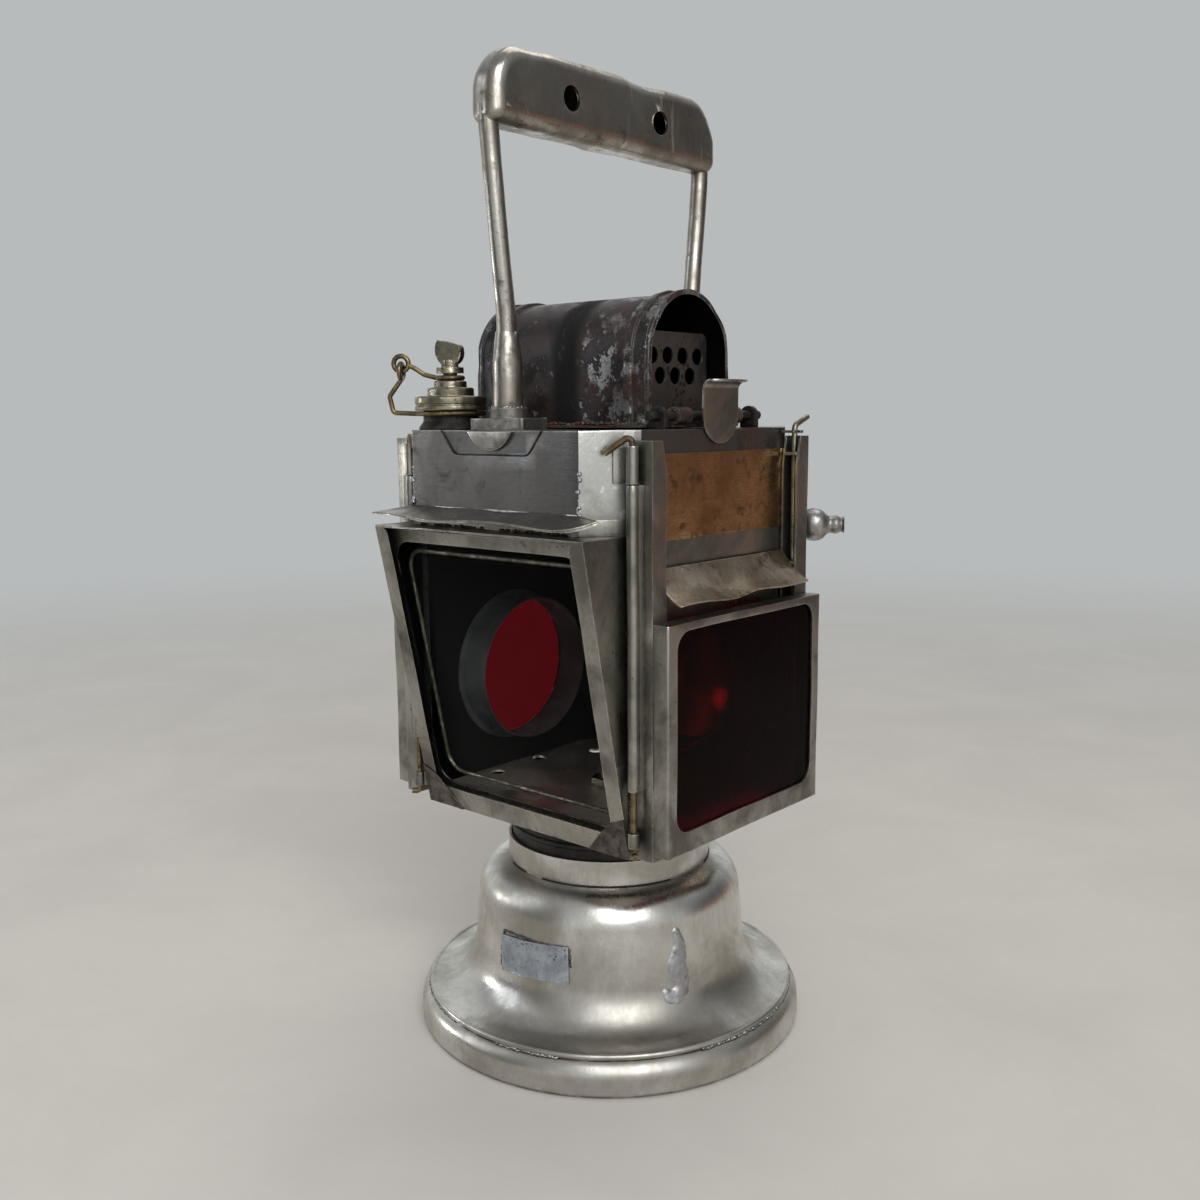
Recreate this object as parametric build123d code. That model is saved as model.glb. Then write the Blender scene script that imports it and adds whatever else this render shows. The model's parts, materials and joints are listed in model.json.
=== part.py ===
from build123d import *
import os
from math import atan2, cos, degrees, radians, sin, sqrt

os.makedirs("parts", exist_ok=True)

# Origin: centre of the base's bottom, on the table. +Z up, -Y the clear slanted
# window, +X the right-hand red light. Millimetres.

# Foot ring and bottom plate
foot_r = 70.0
foot_h = 11.8
foot_wall = 1.0
foot_land_w = 5.5
foot_roll_r = 2.0
foot_brow_h = 6.2
hem_set_in = 3.4
bottom_plate_gap = 2.0
bottom_plate_t = 0.8

# Spun bell
bell_wall = 0.9
brim_w = 1.6
brim_rise = 1.6
flare_r = 15.2
bell_taper = 1.6
shoulder_r = 12.2
shoulder_mid_z = 46.5
hem_r = 1.1
collar_r = 36.9
collar_top_z = 67.5
gasket_seat_w = 5.0
gasket_seat_z = 57.2

# Number tag soldered on the bell
tag_w = 28.0
tag_h = 12.6
tag_t = 0.7
tag_z = 34.8
tag_angle = -81.5
tag_tilt = 3.5

# Carbide can inside the bell
can_gap = 5.3
can_top_z = 54.0
can_bead_r = 0.7
can_wall = 0.6
lid_t = 0.8
lid_hole_r = 2.2
lid_hole_count = 12
lid_hole_ring_r = 31.0
lid_mouth_r = 23.0

# Neck between base and head
gasket_t = 3.0
neck_gap = 0.5
neck_wall = 1.0
neck_bead_z = 72.0
neck_bead_r = 1.0
neck_flange_r = 40.0
neck_flange_t = 1.0

# Head body, eight-sided in plan
head_x = 49.0
head_flat_y = 40.0
head_y = 56.5
front_x = 38.0
head_bottom_z = 79.0
head_sheet = 0.8
floor_z = 83.0
floor_t = 0.9
tank_floor_z = 187.0
tank_top_z = 213.8
tank_sheet = 1.0
vent_ring_r = 45.0
vent_r = 2.7
vent_count = 8
vent_first_angle = -20.0
vent_sweep = 220.0

# Flue through the tank
flue_x = 24.0
flue_y = 14.0
flue_corner_r = 8.0

# Recess and half-round tab at the top of the tank's front wall
recess_top_x = 23.0
recess_low_x = 17.0
recess_h = 7.8
recess_depth = 0.5
front_tab_x = 10.0
front_tab_h = 6.0
front_tab_t = 0.9

# Slanted front window and its hood
lip_top_y = -65.8
lip_top_z = 181.5
lip_low_y = -44.4
lip_low_z = 79.0
hood_x = 47.7
lip_w = 6.0
bottom_lip_w = 7.5
cheek_back_y = -44.6
roof_z = 182.0
channel_gap = 2.6
window_x = 43.3
window_low = 7.6
window_high = 98.7
window_corner_r = 7.0
window_frame_top = 103.0
front_glass_t = 2.2
front_glass_x = 44.2
front_glass_low = 5.8
front_glass_high = 102.0
retainer_wire_r = 0.75
patch_up = 14.5
patch_across = 17.5
patch_t = 0.5

# Front visor
visor_t = 0.7
visor_root_z = 188.6
visor_root_left_x = -38.0
visor_root_right_x = 37.4
visor_lip_y = -66.4
visor_lip_left_x = -50.2
visor_lip_right_x = 48.4
visor_lip_z = 185.6
visor_wave = 0.8

# Round light tubes in the side walls, and the flame between them
light_z = 123.0
light_r = 26.5
tube_wall = 0.6
tube_len = 12.2
tube_flange_r = 29.0
tube_flange_t = 0.8

# Reflector
dish_r = 30.0
dish_depth = 8.0
dish_t = 0.7
dish_stud_r = 3.0
dish_stud_len = 1.6

# Burner
riser_r = 3.0
riser_bore_r = 1.5
riser_low_z = 62.0
riser_top_z = 110.0
burner_nut_r = 6.5
burner_nut_t = 3.0
tip_base_r = 3.4
tip_base_h = 5.0
tip_arm_r = 1.7
tip_arm_len = 10.5
tip_arm_angle = 32.0

# Drip cock, drip pipe and the knob on the rear right-hand chamfer
knob_z = 178.6
knob_stem_r = 2.2
knob_neck_r = 3.3
knob_bulb_r = 5.9
knob_tip_r = 3.3
knob_stand_off = 6.0
knob_bulb_len = 10.2
knob_tip_len = 5.2
cock_inset = 18.0
cock_r = 4.6
cock_h = 15.0
spindle_play = 0.06
drip_r = 1.6
drip_bore_r = 0.9
drip_turn_high_z = 104.0
drip_turn_low_z = 92.0
drip_x = 13.0
drip_y = 15.5
drip_end_z = 48.0

# Doors: two channel posts, framed red glass and a small visor
door_gap = 0.6
post_depth = 6.4
post_w = 7.0
post_sheet = 0.8
post_y = 43.5
post_low_z = 79.6
post_top_z = 210.7
post_taper = 10.0
post_taper_w = 2.2
frame_depth = 6.0
frame_sheet = 1.0
frame_low_z = 82.0
frame_top_z = 155.5
pane_y = 38.9
pane_low_z = 88.8
pane_top_z = 152.9
pane_corner_r = 6.0
red_glass_t = 2.4
pane_play = 0.1
spring_wire_r = 0.6
spring_inset = 2.3
side_visor_root_z = 171.0
side_visor_lip_z = 161.4
side_visor_reach = 11.8
side_visor_t = 0.8
side_visor_wave = 0.9
left_door_lean = 4.5

# Hinge at each front corner
pin_x = 51.0
pin_y = -46.75
pin_r = 1.0
pin_play = 0.06
knuckle_r = 1.8
knuckle_top_z = 209.2
knuckle_split_z = 197.5
knuckle_split = 0.4
door_knuckle_low_z = 103.0
low_knuckle_top_z = 89.5
low_knuckle_low_z = 84.5
leaf_t = 0.8
leaf_w = 4.6
pin_low_z = 82.3
pin_top_z = 212.8
pin_hook_x = -7.1
pin_hook_y = -4.5
pin_hook_drop = 5.8
pin_foot_x = 2.2
pin_foot_y = -2.0

# Latch pin in each far post and its open catch on the tank
latch_x = 52.7
latch_y = 39.6
latch_r = 1.0
latch_low_z = 160.0
latch_top_z = 214.2
latch_hook = 8.0
latch_hook_rise = 3.0
latch_lug_t = 1.0
latch_lug_zs = (166.0, 204.0)
catch_z = 211.6
catch_t = 1.0
catch_w = 6.0
catch_reach = 5.4
catch_play = 0.35

# Name plate and lifting tabs
plate_low_z = 179.2
plate_top_z = 206.4
plate_y = 38.6
plate_t = 0.4
tab_w = 19.2
tab_t = 0.8
tab_low_z = 208.9
tab_top_z = 229.4
tab_bend_r = 2.4
tab_lip = 4.2

# Filler, screw plug and keeper
filler_x = -33.0
filler_y = -43.0
neck_r = 9.6
solder_r = 11.2
filler_neck_h = 6.4
filler_bore_r = 6.0
cap_r = 12.3
cap_h = 4.8
collar2_r = 8.0
collar2_h = 2.9
collar1_r = 5.6
collar1_h = 2.3
plug_r = 2.4
plug_play = 0.06
plug_depth = 6.5
washer_r = 4.7
washer_h = 1.9
washer_rise = 2.6
wing_w = 9.8
wing_h = 8.2
wing_t = 3.0
wing_turn = 20.0
keeper_wire_r = 0.85
keeper_play = 0.15
keeper_eye_r = 2.6
keeper_reach = 17.2
keeper_eye_z = 236.2
keeper_out_x = -0.83
keeper_out_y = -0.55
keeper_low_reach = 20.4

# Chimney
stack_left_x = -42.0
stack_right_x = 37.0
stack_r = 21.0
stack_wall = 0.8
stack_mid_z = 236.8
stack_bead_x = 29.5
stack_bead_r = 1.1
stack_rim_r = 0.9
deck_t = 1.0
deck_gap = 0.4
deck_x = 39.5
deck_y = 26.5
deck_left_x = -46.0
baffle_x = 30.0
baffle_y = 17.5
baffle_top_z = 245.4
baffle_t = 0.8
baffle_corner_r = 3.0
baffle_hole_r = 2.8
baffle_pitch = 8.1
baffle_row_z = 237.5
baffle_row_drop = 6.6
rod_x = 43.5
rod_z = 217.9
rod_r = 1.6
rod_half = 30.0
rod_play = 0.07
stack_knuckle_r = 2.9
stack_knuckle_y = 14.0
stack_knuckle_w = 7.0
lug_y = 25.0
lug_t = 2.0
lug_r = 3.2

# Handle
handle_foot_y = 48.0
rod_bend_r = 55.0
handle_top_y = 54.2
foot_plate_x = 24.0
foot_plate_y = 12.0
foot_plate_t = 3.7
foot_collar_r = 5.9
foot_collar_h = 3.4
sleeve_r = 4.8
sleeve_h = 15.0
sleeve_neck_h = 9.0
handle_rod_r = 3.15
rod_play_in_sleeve = 0.05
rod_bend_z = 250.0
rod_lean_z = 287.0
rod_lean_y = 52.2
rod_in_grip = 6.0
grip_low_z = 307.0
grip_h = 25.0
grip_half_y = 57.3
grip_half_x = 6.6
grip_sheet = 1.2
grip_corner_share = 0.64
grip_low_corner_r = 3.0
grip_edge_r = 5.0
grip_hole_r = 4.0
grip_hole_y = 23.0
grip_hole_z = 319.0


# Worked-out places
foot_land_r = foot_r - foot_land_w
foot_shoulder_r = foot_r - hem_set_in
bottom_plate_r = foot_r - foot_wall - bottom_plate_gap
hem_mid_r = foot_shoulder_r - bell_wall / 2
brim_z = foot_h + brim_rise
flare_low_r = foot_shoulder_r - brim_w
throat_z = brim_z + flare_r
wall_foot_r = flare_low_r - flare_r
bell_top_r = wall_foot_r - bell_taper
can_r = bell_top_r - bell_wall - can_gap
gasket_seat_r = collar_r - bell_wall - gasket_seat_w
lip_up = Vector(0, lip_top_y - lip_low_y, lip_top_z - lip_low_z).normalized()
lip_plane = Plane(origin=(0, lip_low_y, lip_low_z), x_dir=(1, 0, 0),
                  z_dir=(0, -lip_up.Z, lip_up.Y))
lip_len = sqrt((lip_top_y - lip_low_y) ** 2 + (lip_top_z - lip_low_z) ** 2)
window_back = head_sheet + channel_gap
glass_front = window_back + head_sheet
neck_r_out = collar_r - bell_wall - neck_gap
gasket_top_z = gasket_seat_z + bell_wall + gasket_t
post_in_x = head_x + door_gap
post_out_x = post_in_x + post_depth
frame_out_x = post_out_x + frame_depth
corner_out = Vector(head_y - head_flat_y, head_x - front_x, 0).normalized()
corner_mid = ((head_x + front_x) / 2, (head_y + head_flat_y) / 2)
filler_top_z = tank_top_z + filler_neck_h
cap_top_z = filler_top_z + cap_h
collar_stack_z = cap_top_z + collar2_h + collar1_h
grip_top_z = grip_low_z + grip_h
grip_corner_r = grip_h * grip_corner_share
deck_low_z = tank_top_z + deck_gap
deck_top_z = deck_low_z + deck_t


def block(x0, x1, y0, y1, z0, z1):
    return Pos((x0 + x1) / 2, (y0 + y1) / 2, (z0 + z1) / 2) * Box(abs(x1 - x0), abs(y1 - y0), abs(z1 - z0))


def post_round(r, z0, z1, x=0.0, y=0.0):
    return Pos(x, y, (z0 + z1) / 2) * Cylinder(r, z1 - z0)


def rod_between(start, end, r):
    run = Vector(end) - Vector(start)
    plane = Plane(origin=start, z_dir=run.normalized())
    return extrude(plane * Circle(r), run.length)


def bent_wire(points, bend_r, r):
    path = FilletPolyline(*points, radius=bend_r)
    start = Plane(origin=path @ 0, z_dir=path % 0)
    return sweep(start * Circle(r), path=path)


def spun(edges):
    """Turn a closed outline in the XZ plane about the vertical axis."""
    return revolve(make_face(edges), axis=Axis.Z)


def xz(x, z):
    return (x, 0, z)


def octagon(inset, z0, z1):
    """The head's eight-sided plan, moved in by the inset, as a prism."""
    slope = corner_out.Y / corner_out.X
    shift = inset * (1 - corner_out.Y) / corner_out.X
    half_x, half_y = head_x - inset, head_y - inset
    flat_y = head_flat_y - shift
    near_x = half_x - (half_y - flat_y) * slope
    points = [(half_x, -flat_y), (half_x, flat_y), (near_x, half_y), (-near_x, half_y),
              (-half_x, flat_y), (-half_x, -flat_y), (-near_x, -half_y), (near_x, -half_y)]
    face = make_face(Polyline(*points, close=True))
    return Pos(0, 0, z0) * extrude(face, z1 - z0)


def on_lip_plane(sketch, depth, thickness):
    """Extrude a sketch drawn on the slanted lip plane, its front face at this depth behind it."""
    return extrude(lip_plane.offset(-depth) * sketch, -thickness)


def mirrored(shape):
    return mirror(shape, about=Plane.YZ)


def ahead_of(depth):
    """Everything in front of the plane this far behind the lip plane."""
    return extrude(lip_plane.offset(-depth) * Rectangle(6 * head_x, 10 * head_x), 2 * head_x)


def rounded_panel(x_half, y_low, y_high, corner_r):
    """Rectangle in a plane's own axes, from y_low to y_high, with rounded corners."""
    return Pos(0, (y_low + y_high) / 2) * RectangleRounded(2 * x_half, y_high - y_low, corner_r)


# Base

def make_foot_ring():
    inner_r = foot_r - foot_wall
    roll_z = foot_roll_r
    diag = sqrt(0.5)
    brow_z = foot_brow_h
    outer = [
        Line(xz(foot_land_r, 0), xz(foot_r - foot_roll_r, 0)),
        ThreePointArc(xz(foot_r - foot_roll_r, 0),
                      xz(foot_r - foot_roll_r * (1 - diag), foot_roll_r * (1 - diag)), xz(foot_r, roll_z)),
        Line(xz(foot_r, roll_z), xz(foot_r, brow_z)),
        TangentArc(xz(foot_r, brow_z), xz(foot_shoulder_r, foot_h), tangent=(0, 0, 1)),
        Line(xz(foot_shoulder_r, foot_h), xz(foot_land_r, foot_h)),
    ]
    inner = [
        Line(xz(foot_land_r, foot_h), xz(foot_land_r, foot_h - foot_wall)),
        Line(xz(foot_land_r, foot_h - foot_wall), xz(foot_shoulder_r - 0.4, foot_h - foot_wall)),
        TangentArc(xz(inner_r, brow_z), xz(foot_shoulder_r - 0.4, foot_h - foot_wall), tangent=(0, 0, 1)),
        Line(xz(inner_r, brow_z), xz(inner_r, foot_wall)),
        Line(xz(inner_r, foot_wall), xz(foot_land_r, foot_wall)),
        Line(xz(foot_land_r, foot_wall), xz(foot_land_r, 0)),
    ]
    return spun(outer + inner)


def make_bottom_plate():
    return post_round(bottom_plate_r, foot_wall, foot_wall + bottom_plate_t)


def bell_outline(inset):
    """Bell section from the hem up to the collar's mouth, moved in by the inset."""
    flare = flare_r + inset
    shoulder = shoulder_r - inset
    mouth_r = collar_r - inset
    shoulder_mid_r = bell_top_r - shoulder_r
    crease_z = shoulder_mid_z + sqrt(shoulder ** 2 - (mouth_r - shoulder_mid_r) ** 2)
    diag = sqrt(0.5)
    mid = radians(40)
    return [
        Line(xz(hem_mid_r, brim_z - inset), xz(flare_low_r, brim_z - inset)),
        ThreePointArc(xz(flare_low_r, brim_z - inset),
                      xz(flare_low_r - flare * diag, throat_z - flare * diag),
                      xz(flare_low_r - flare, throat_z)),
        Line(xz(flare_low_r - flare, throat_z), xz(bell_top_r - inset, shoulder_mid_z)),
        ThreePointArc(xz(bell_top_r - inset, shoulder_mid_z),
                      xz(shoulder_mid_r + shoulder * cos(mid), shoulder_mid_z + shoulder * sin(mid)),
                      xz(mouth_r, crease_z)),
        Line(xz(mouth_r, crease_z), xz(mouth_r, collar_top_z)),
    ]


def make_base_bell():
    outer = bell_outline(0)
    inner = bell_outline(bell_wall)
    ends = [
        Line(xz(hem_mid_r, brim_z), xz(hem_mid_r, brim_z - bell_wall)),
        Line(xz(collar_r, collar_top_z), xz(collar_r - bell_wall, collar_top_z)),
    ]
    shell = spun(outer + inner + ends)
    hem = Pos(0, 0, foot_h + hem_r - 0.1) * Torus(hem_mid_r, hem_r)
    hem -= post_round(foot_r, foot_h - hem_r, foot_h)
    seat = post_round(collar_r - bell_wall / 2, gasket_seat_z, gasket_seat_z + bell_wall)
    seat -= post_round(gasket_seat_r, gasket_seat_z - 1, gasket_seat_z + bell_wall + 1)
    return shell + hem + seat


def make_number_tag():
    """Bent tag, curved to the bell's wall and leaning with it."""
    core = spun(bell_outline(0) + [Line(xz(0, brim_z), xz(hem_mid_r, brim_z)),
                                   Line(xz(collar_r, collar_top_z), xz(0, collar_top_z)),
                                   Line(xz(0, collar_top_z), xz(0, brim_z))])
    rise = (tag_z - throat_z) / (shoulder_mid_z - throat_z)
    wall_r = wall_foot_r + (bell_top_r - wall_foot_r) * rise
    lean = degrees(atan2(wall_foot_r - bell_top_r, shoulder_mid_z - throat_z))
    curved = post_round(wall_r + tag_t, -tag_h, tag_h) - post_round(wall_r - tag_t, -tag_h - 1, tag_h + 1)
    window = Pos(wall_r, 0, 0) * Rot(tag_tilt, 0, 0) * Box(wall_r / 2, tag_w, tag_h)
    tag = Pos(wall_r, 0, 0) * Rot(0, -lean, 0) * Pos(-wall_r, 0, 0) * (curved & window)
    return Rot(0, 0, tag_angle) * Pos(0, 0, tag_z) * tag - core


def make_carbide_can():
    low = foot_wall + bottom_plate_t
    can = post_round(can_r, low, can_top_z) - post_round(can_r - can_wall, low + can_wall, can_top_z + 1)
    bead = Pos(0, 0, (low + can_top_z) / 2) * Torus(can_r, can_bead_r)
    return can + bead - post_round(can_r - can_wall, low + can_wall, can_top_z + 1)


def make_can_lid():
    lid = post_round(can_r, can_top_z, can_top_z + lid_t)
    lid -= post_round(lid_mouth_r, can_top_z - 1, can_top_z + 2)
    hole = post_round(lid_hole_r, can_top_z - 1, can_top_z + 2, x=lid_hole_ring_r)
    for step in range(lid_hole_count):
        lid -= Rot(0, 0, step * 360 / lid_hole_count) * hole
    return lid


def make_gasket():
    low = gasket_seat_z + bell_wall
    hole = post_round(gasket_seat_r + 1, low - 1, gasket_top_z + 1)
    return post_round(neck_r_out, low, gasket_top_z) - hole


# Head body

def make_neck():
    neck = post_round(neck_r_out, gasket_top_z, floor_z)
    neck += Pos(0, 0, neck_bead_z) * Torus(neck_r_out, neck_bead_r)
    neck += post_round(neck_flange_r, floor_z - neck_flange_t, floor_z)
    return neck - post_round(neck_r_out - neck_wall, gasket_top_z - 1, floor_z + 1)


def make_floor_plate():
    plate = octagon(head_sheet, floor_z, floor_z + floor_t) - ahead_of(head_sheet)
    plate -= post_round(riser_r, floor_z - 1, floor_z + 2)
    plate -= post_round(drip_r, floor_z - 1, floor_z + 2, drip_x, drip_y)
    hole = post_round(vent_r, floor_z - 1, floor_z + 2, x=vent_ring_r)
    for step in range(vent_count):
        turn = vent_first_angle + step * vent_sweep / (vent_count - 1)
        plate -= Rot(0, 0, turn) * hole
    return plate


def make_chamber():
    shell = octagon(0, head_bottom_z, tank_floor_z) - octagon(head_sheet, head_bottom_z - 1, tank_floor_z + 1)
    shell -= block(-head_x - 1, head_x + 1, -head_y - 1, cheek_back_y - head_sheet,
                   head_bottom_z - 1, roof_z)
    shell -= ahead_of(head_sheet) & block(-90, 90, -90, 0, head_bottom_z - 1, roof_z)
    shell -= Pos(0, 0, light_z) * Rot(0, 90, 0) * Cylinder(light_r, 2 * head_x + 4)
    spindle = rod_between(knob_point(-4), knob_point(4), knob_stem_r + spindle_play)
    return shell - spindle


def make_hood():
    """Cheeks, lips and roof that carry the slanted window forward of the chamber."""
    cheek = block(hood_x - head_sheet, hood_x, lip_top_y, cheek_back_y, lip_low_z, roof_z)
    back_flange = block(front_x, hood_x, cheek_back_y - head_sheet, cheek_back_y, lip_low_z, roof_z)
    back_flange -= octagon(0, head_bottom_z - 1, roof_z + 1)
    lip_sketch = Pos(hood_x - lip_w / 2, lip_len / 2) * Rectangle(lip_w, lip_len)
    inner_top = lip_sketch.vertices().group_by(Axis.Y)[-1].sort_by(Axis.X)[0]
    lip = on_lip_plane(fillet(inner_top, lip_w * 0.55), 0, head_sheet)
    side = cheek + back_flange - ahead_of(0) + lip
    roof = block(-hood_x, hood_x, lip_top_y, cheek_back_y, roof_z - head_sheet, roof_z)
    roof -= octagon(0, head_bottom_z, tank_floor_z)
    low_sketch = Pos(0, bottom_lip_w / 2) * Rectangle(2 * hood_x, bottom_lip_w)
    low_lip = on_lip_plane(low_sketch, 0, head_sheet)
    return side + mirrored(side) + roof + low_lip


def make_corner_patches():
    points = [(-hood_x, 0), (-hood_x, patch_up), (-hood_x + lip_w, patch_up - 2.4),
              (-hood_x + lip_w + 4.5, bottom_lip_w + 0.3), (-hood_x + patch_across, 0)]
    patch = on_lip_plane(make_face(Polyline(*points, close=True)), -patch_t, patch_t)
    return patch + mirrored(patch)


def make_window_frame(chamber, hood):
    sketch = rounded_panel(hood_x - head_sheet, 0.6, window_frame_top, 2.0)
    sketch -= rounded_panel(window_x, window_low, window_high, window_corner_r)
    frame = on_lip_plane(sketch, window_back, head_sheet)
    return frame - chamber - hood - block(-90, 90, -90, 0, lip_low_z, floor_z + floor_t)


def make_front_glass():
    sketch = rounded_panel(front_glass_x, front_glass_low, front_glass_high, 1.0)
    return on_lip_plane(sketch, glass_front, front_glass_t)


def make_window_retainer():
    """Wire ring that presses the clear glass forward."""
    outer = rounded_panel(window_x - 1.0, window_low + 2.5, window_high - 3.2, window_corner_r)
    inner = offset(outer, -2 * retainer_wire_r)
    return on_lip_plane(outer - inner, glass_front + front_glass_t, 2 * retainer_wire_r)


def wavy_sheet(root_start, root_end, lip_points, thickness):
    root = Line(root_start, root_end)
    lip = Spline(*lip_points)
    face = Face.make_surface_from_curves(root.edge(), lip.edge())
    return Solid.thicken(face, thickness)


def make_front_visor():
    y = visor_lip_y
    span = visor_lip_right_x - visor_lip_left_x
    lip_points = []
    for share, lift, back in ((0.0, 0.6, 1.6), (0.12, 0.9, 0.2), (0.3, -1.0, 0.0), (0.52, 0.3, 0.3),
                              (0.75, -0.4, 0.0), (0.93, -0.3, 0.8), (1.0, 2.6, 6.6)):
        lip_points.append((visor_lip_left_x + share * span, y + back, visor_lip_z + lift * visor_wave))
    return wavy_sheet((visor_root_left_x, -head_y, visor_root_z), (visor_root_right_x, -head_y, visor_root_z),
                      lip_points, visor_t) - octagon(0, head_bottom_z, tank_top_z)


def make_light_tube():
    inner_x = head_x - head_sheet
    tube = Rot(0, 90, 0) * Cylinder(light_r + tube_wall, tube_len)
    tube = Pos(inner_x - tube_len / 2, 0, light_z) * tube
    flange = Rot(0, 90, 0) * Cylinder(tube_flange_r, tube_flange_t)
    flange = Pos(inner_x - tube_flange_t / 2, 0, light_z) * flange
    bore = Pos(head_x - 10, 0, light_z) * Rot(0, 90, 0) * Cylinder(light_r, 40)
    return tube + flange - bore


def make_reflector():
    """Shallow dish behind the flame, on a stud from the back wall."""
    apex_y = head_y - head_sheet - dish_stud_len
    dish_y = apex_y - dish_t
    dish_curve = ThreePointArc((0, dish_y, 0), (dish_r * 0.55, dish_y - dish_depth * 0.3, 0),
                               (dish_r, dish_y - dish_depth, 0))
    back_curve = ThreePointArc((0, apex_y, 0), (dish_r * 0.55, apex_y - dish_depth * 0.3, 0),
                               (dish_r, apex_y - dish_depth, 0))
    section = make_face([dish_curve, back_curve,
                         Line((0, apex_y - dish_t, 0), (0, apex_y, 0)),
                         Line((dish_r, apex_y - dish_t - dish_depth, 0), (dish_r, apex_y - dish_depth, 0))])
    dish = revolve(section, axis=Axis.Y)
    stud = Rot(90, 0, 0) * Cylinder(dish_stud_r, dish_stud_len + 0.6)
    stud = Pos(0, apex_y + dish_stud_len / 2 - 0.3, 0) * stud
    stud &= block(-10, 10, apex_y - 0.6, apex_y + dish_stud_len, -10, 10)
    return Pos(0, 0, light_z) * (dish + stud)


def make_burner_riser():
    riser = post_round(riser_r, riser_low_z, riser_top_z)
    nut = Pos(0, 0, floor_z + floor_t) * extrude(RegularPolygon(burner_nut_r, 6), burner_nut_t)
    return riser + nut - post_round(riser_bore_r, riser_low_z - 1, riser_top_z - 2)


def make_burner_tip():
    tip = post_round(tip_base_r, riser_top_z, riser_top_z + tip_base_h)
    foot = Vector(0, 0, riser_top_z + tip_base_h - 1)
    for side in (-1, 1):
        lean = radians(side * tip_arm_angle)
        end = foot + Vector(0, sin(lean), cos(lean)) * tip_arm_len
        tip += rod_between(foot, end, tip_arm_r)
        tip += Pos(*end) * Sphere(tip_arm_r)
        jet = end + Vector(0, -side * 2.2, 0.6)
        tip += rod_between(end, jet, tip_arm_r * 0.7)
    return tip


# Tank and what stands on it

def flue_hole(inset, z0, z1):
    sketch = RectangleRounded(2 * (flue_x - inset), 2 * (flue_y - inset), flue_corner_r - inset)
    return Pos(0, 0, z0) * extrude(sketch, z1 - z0)


def make_tank():
    tank = octagon(0, tank_floor_z, tank_top_z)
    tank -= octagon(tank_sheet, tank_floor_z + tank_sheet, tank_top_z - tank_sheet)
    tank += flue_hole(0, tank_floor_z, tank_top_z)
    tank -= flue_hole(tank_sheet, tank_floor_z - 1, tank_top_z + 1)
    tank -= post_round(filler_bore_r, tank_top_z - 3, tank_top_z + 1, filler_x, filler_y)
    x, y, z = knob_point(-cock_inset)
    tank -= post_round(drip_bore_r, tank_floor_z - 1, tank_floor_z + 3, x, y)
    low_z = tank_top_z - recess_h
    outline = Polyline((-recess_top_x, 0, tank_top_z + 1), (-recess_top_x, 0, tank_top_z),
                       (-recess_low_x, 0, low_z), (recess_low_x, 0, low_z),
                       (recess_top_x, 0, tank_top_z), (recess_top_x, 0, tank_top_z + 1), close=True)
    face = fillet(make_face(outline).vertices().group_by(Axis.Z)[0], 4.0)
    recess = Pos(0, -head_y + recess_depth, 0) * extrude(face, recess_depth + 1, dir=(0, -1, 0))
    return tank - recess


def make_front_tab():
    top_z = tank_top_z - 0.4
    outline = [Line((-front_tab_x, 0, top_z), (front_tab_x, 0, top_z)),
               ThreePointArc((-front_tab_x, 0, top_z), (0, 0, top_z - front_tab_h), (front_tab_x, 0, top_z))]
    tab = extrude(make_face(outline), front_tab_t, dir=(0, -1, 0))
    return Pos(0, -head_y + recess_depth, 0) * tab


def knob_point(out):
    """A point on the knob's axis, this far out from the rear right-hand chamfer."""
    return (corner_mid[0] + corner_out.X * out, corner_mid[1] + corner_out.Y * out, knob_z)


def make_drip_cock():
    x, y, z = knob_point(-cock_inset)
    body = post_round(cock_r, tank_floor_z - cock_h, tank_floor_z, x, y)
    body -= post_round(drip_bore_r, tank_floor_z - cock_h - 1, tank_floor_z + 1, x, y)
    body -= rod_between(knob_point(-cock_inset - 1), knob_point(0), knob_stem_r + spindle_play)
    return body


def make_drip_pipe():
    x, y, z = knob_point(-cock_inset)
    points = [(x, y, tank_floor_z - cock_h), (x, y, drip_turn_high_z), (drip_x, drip_y, drip_turn_low_z),
              (drip_x, drip_y, drip_end_z)]
    return bent_wire(points, 5.0, drip_r)


def make_regulator_knob():
    """Turned knob: stem, neck, egg-shaped bulb and small tip on one spindle."""
    start = knob_stand_off
    bulb_end = start + knob_bulb_len
    tip_end = bulb_end + knob_tip_len
    waist_r = knob_tip_r - 0.3
    outline = [(0, -cock_inset), (knob_stem_r, -cock_inset), (knob_stem_r, 1.0), (knob_neck_r, 1.0),
               (knob_neck_r, start)]
    bulb = Spline((knob_neck_r, start), (knob_bulb_r * 0.93, start + knob_bulb_len * 0.22),
                  (knob_bulb_r, start + knob_bulb_len * 0.48),
                  (knob_bulb_r * 0.82, start + knob_bulb_len * 0.78),
                  (waist_r, bulb_end), (knob_tip_r, bulb_end + knob_tip_len * 0.45),
                  (knob_tip_r * 0.8, tip_end - 0.9), (0, tip_end), tangents=((0.9, 0.6), (-1, 0)))
    profile = [Polyline(*outline), bulb, Line((0, tip_end), (0, -cock_inset))]
    turned = revolve(make_face(profile), axis=Axis.Y)
    aim = degrees(atan2(-corner_out.X, corner_out.Y))
    return Pos(*knob_point(0)) * Rot(0, 0, aim) * turned


def make_name_plate():
    return block(head_x, head_x + plate_t, -plate_y, plate_y, plate_low_z, plate_top_z)


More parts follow.
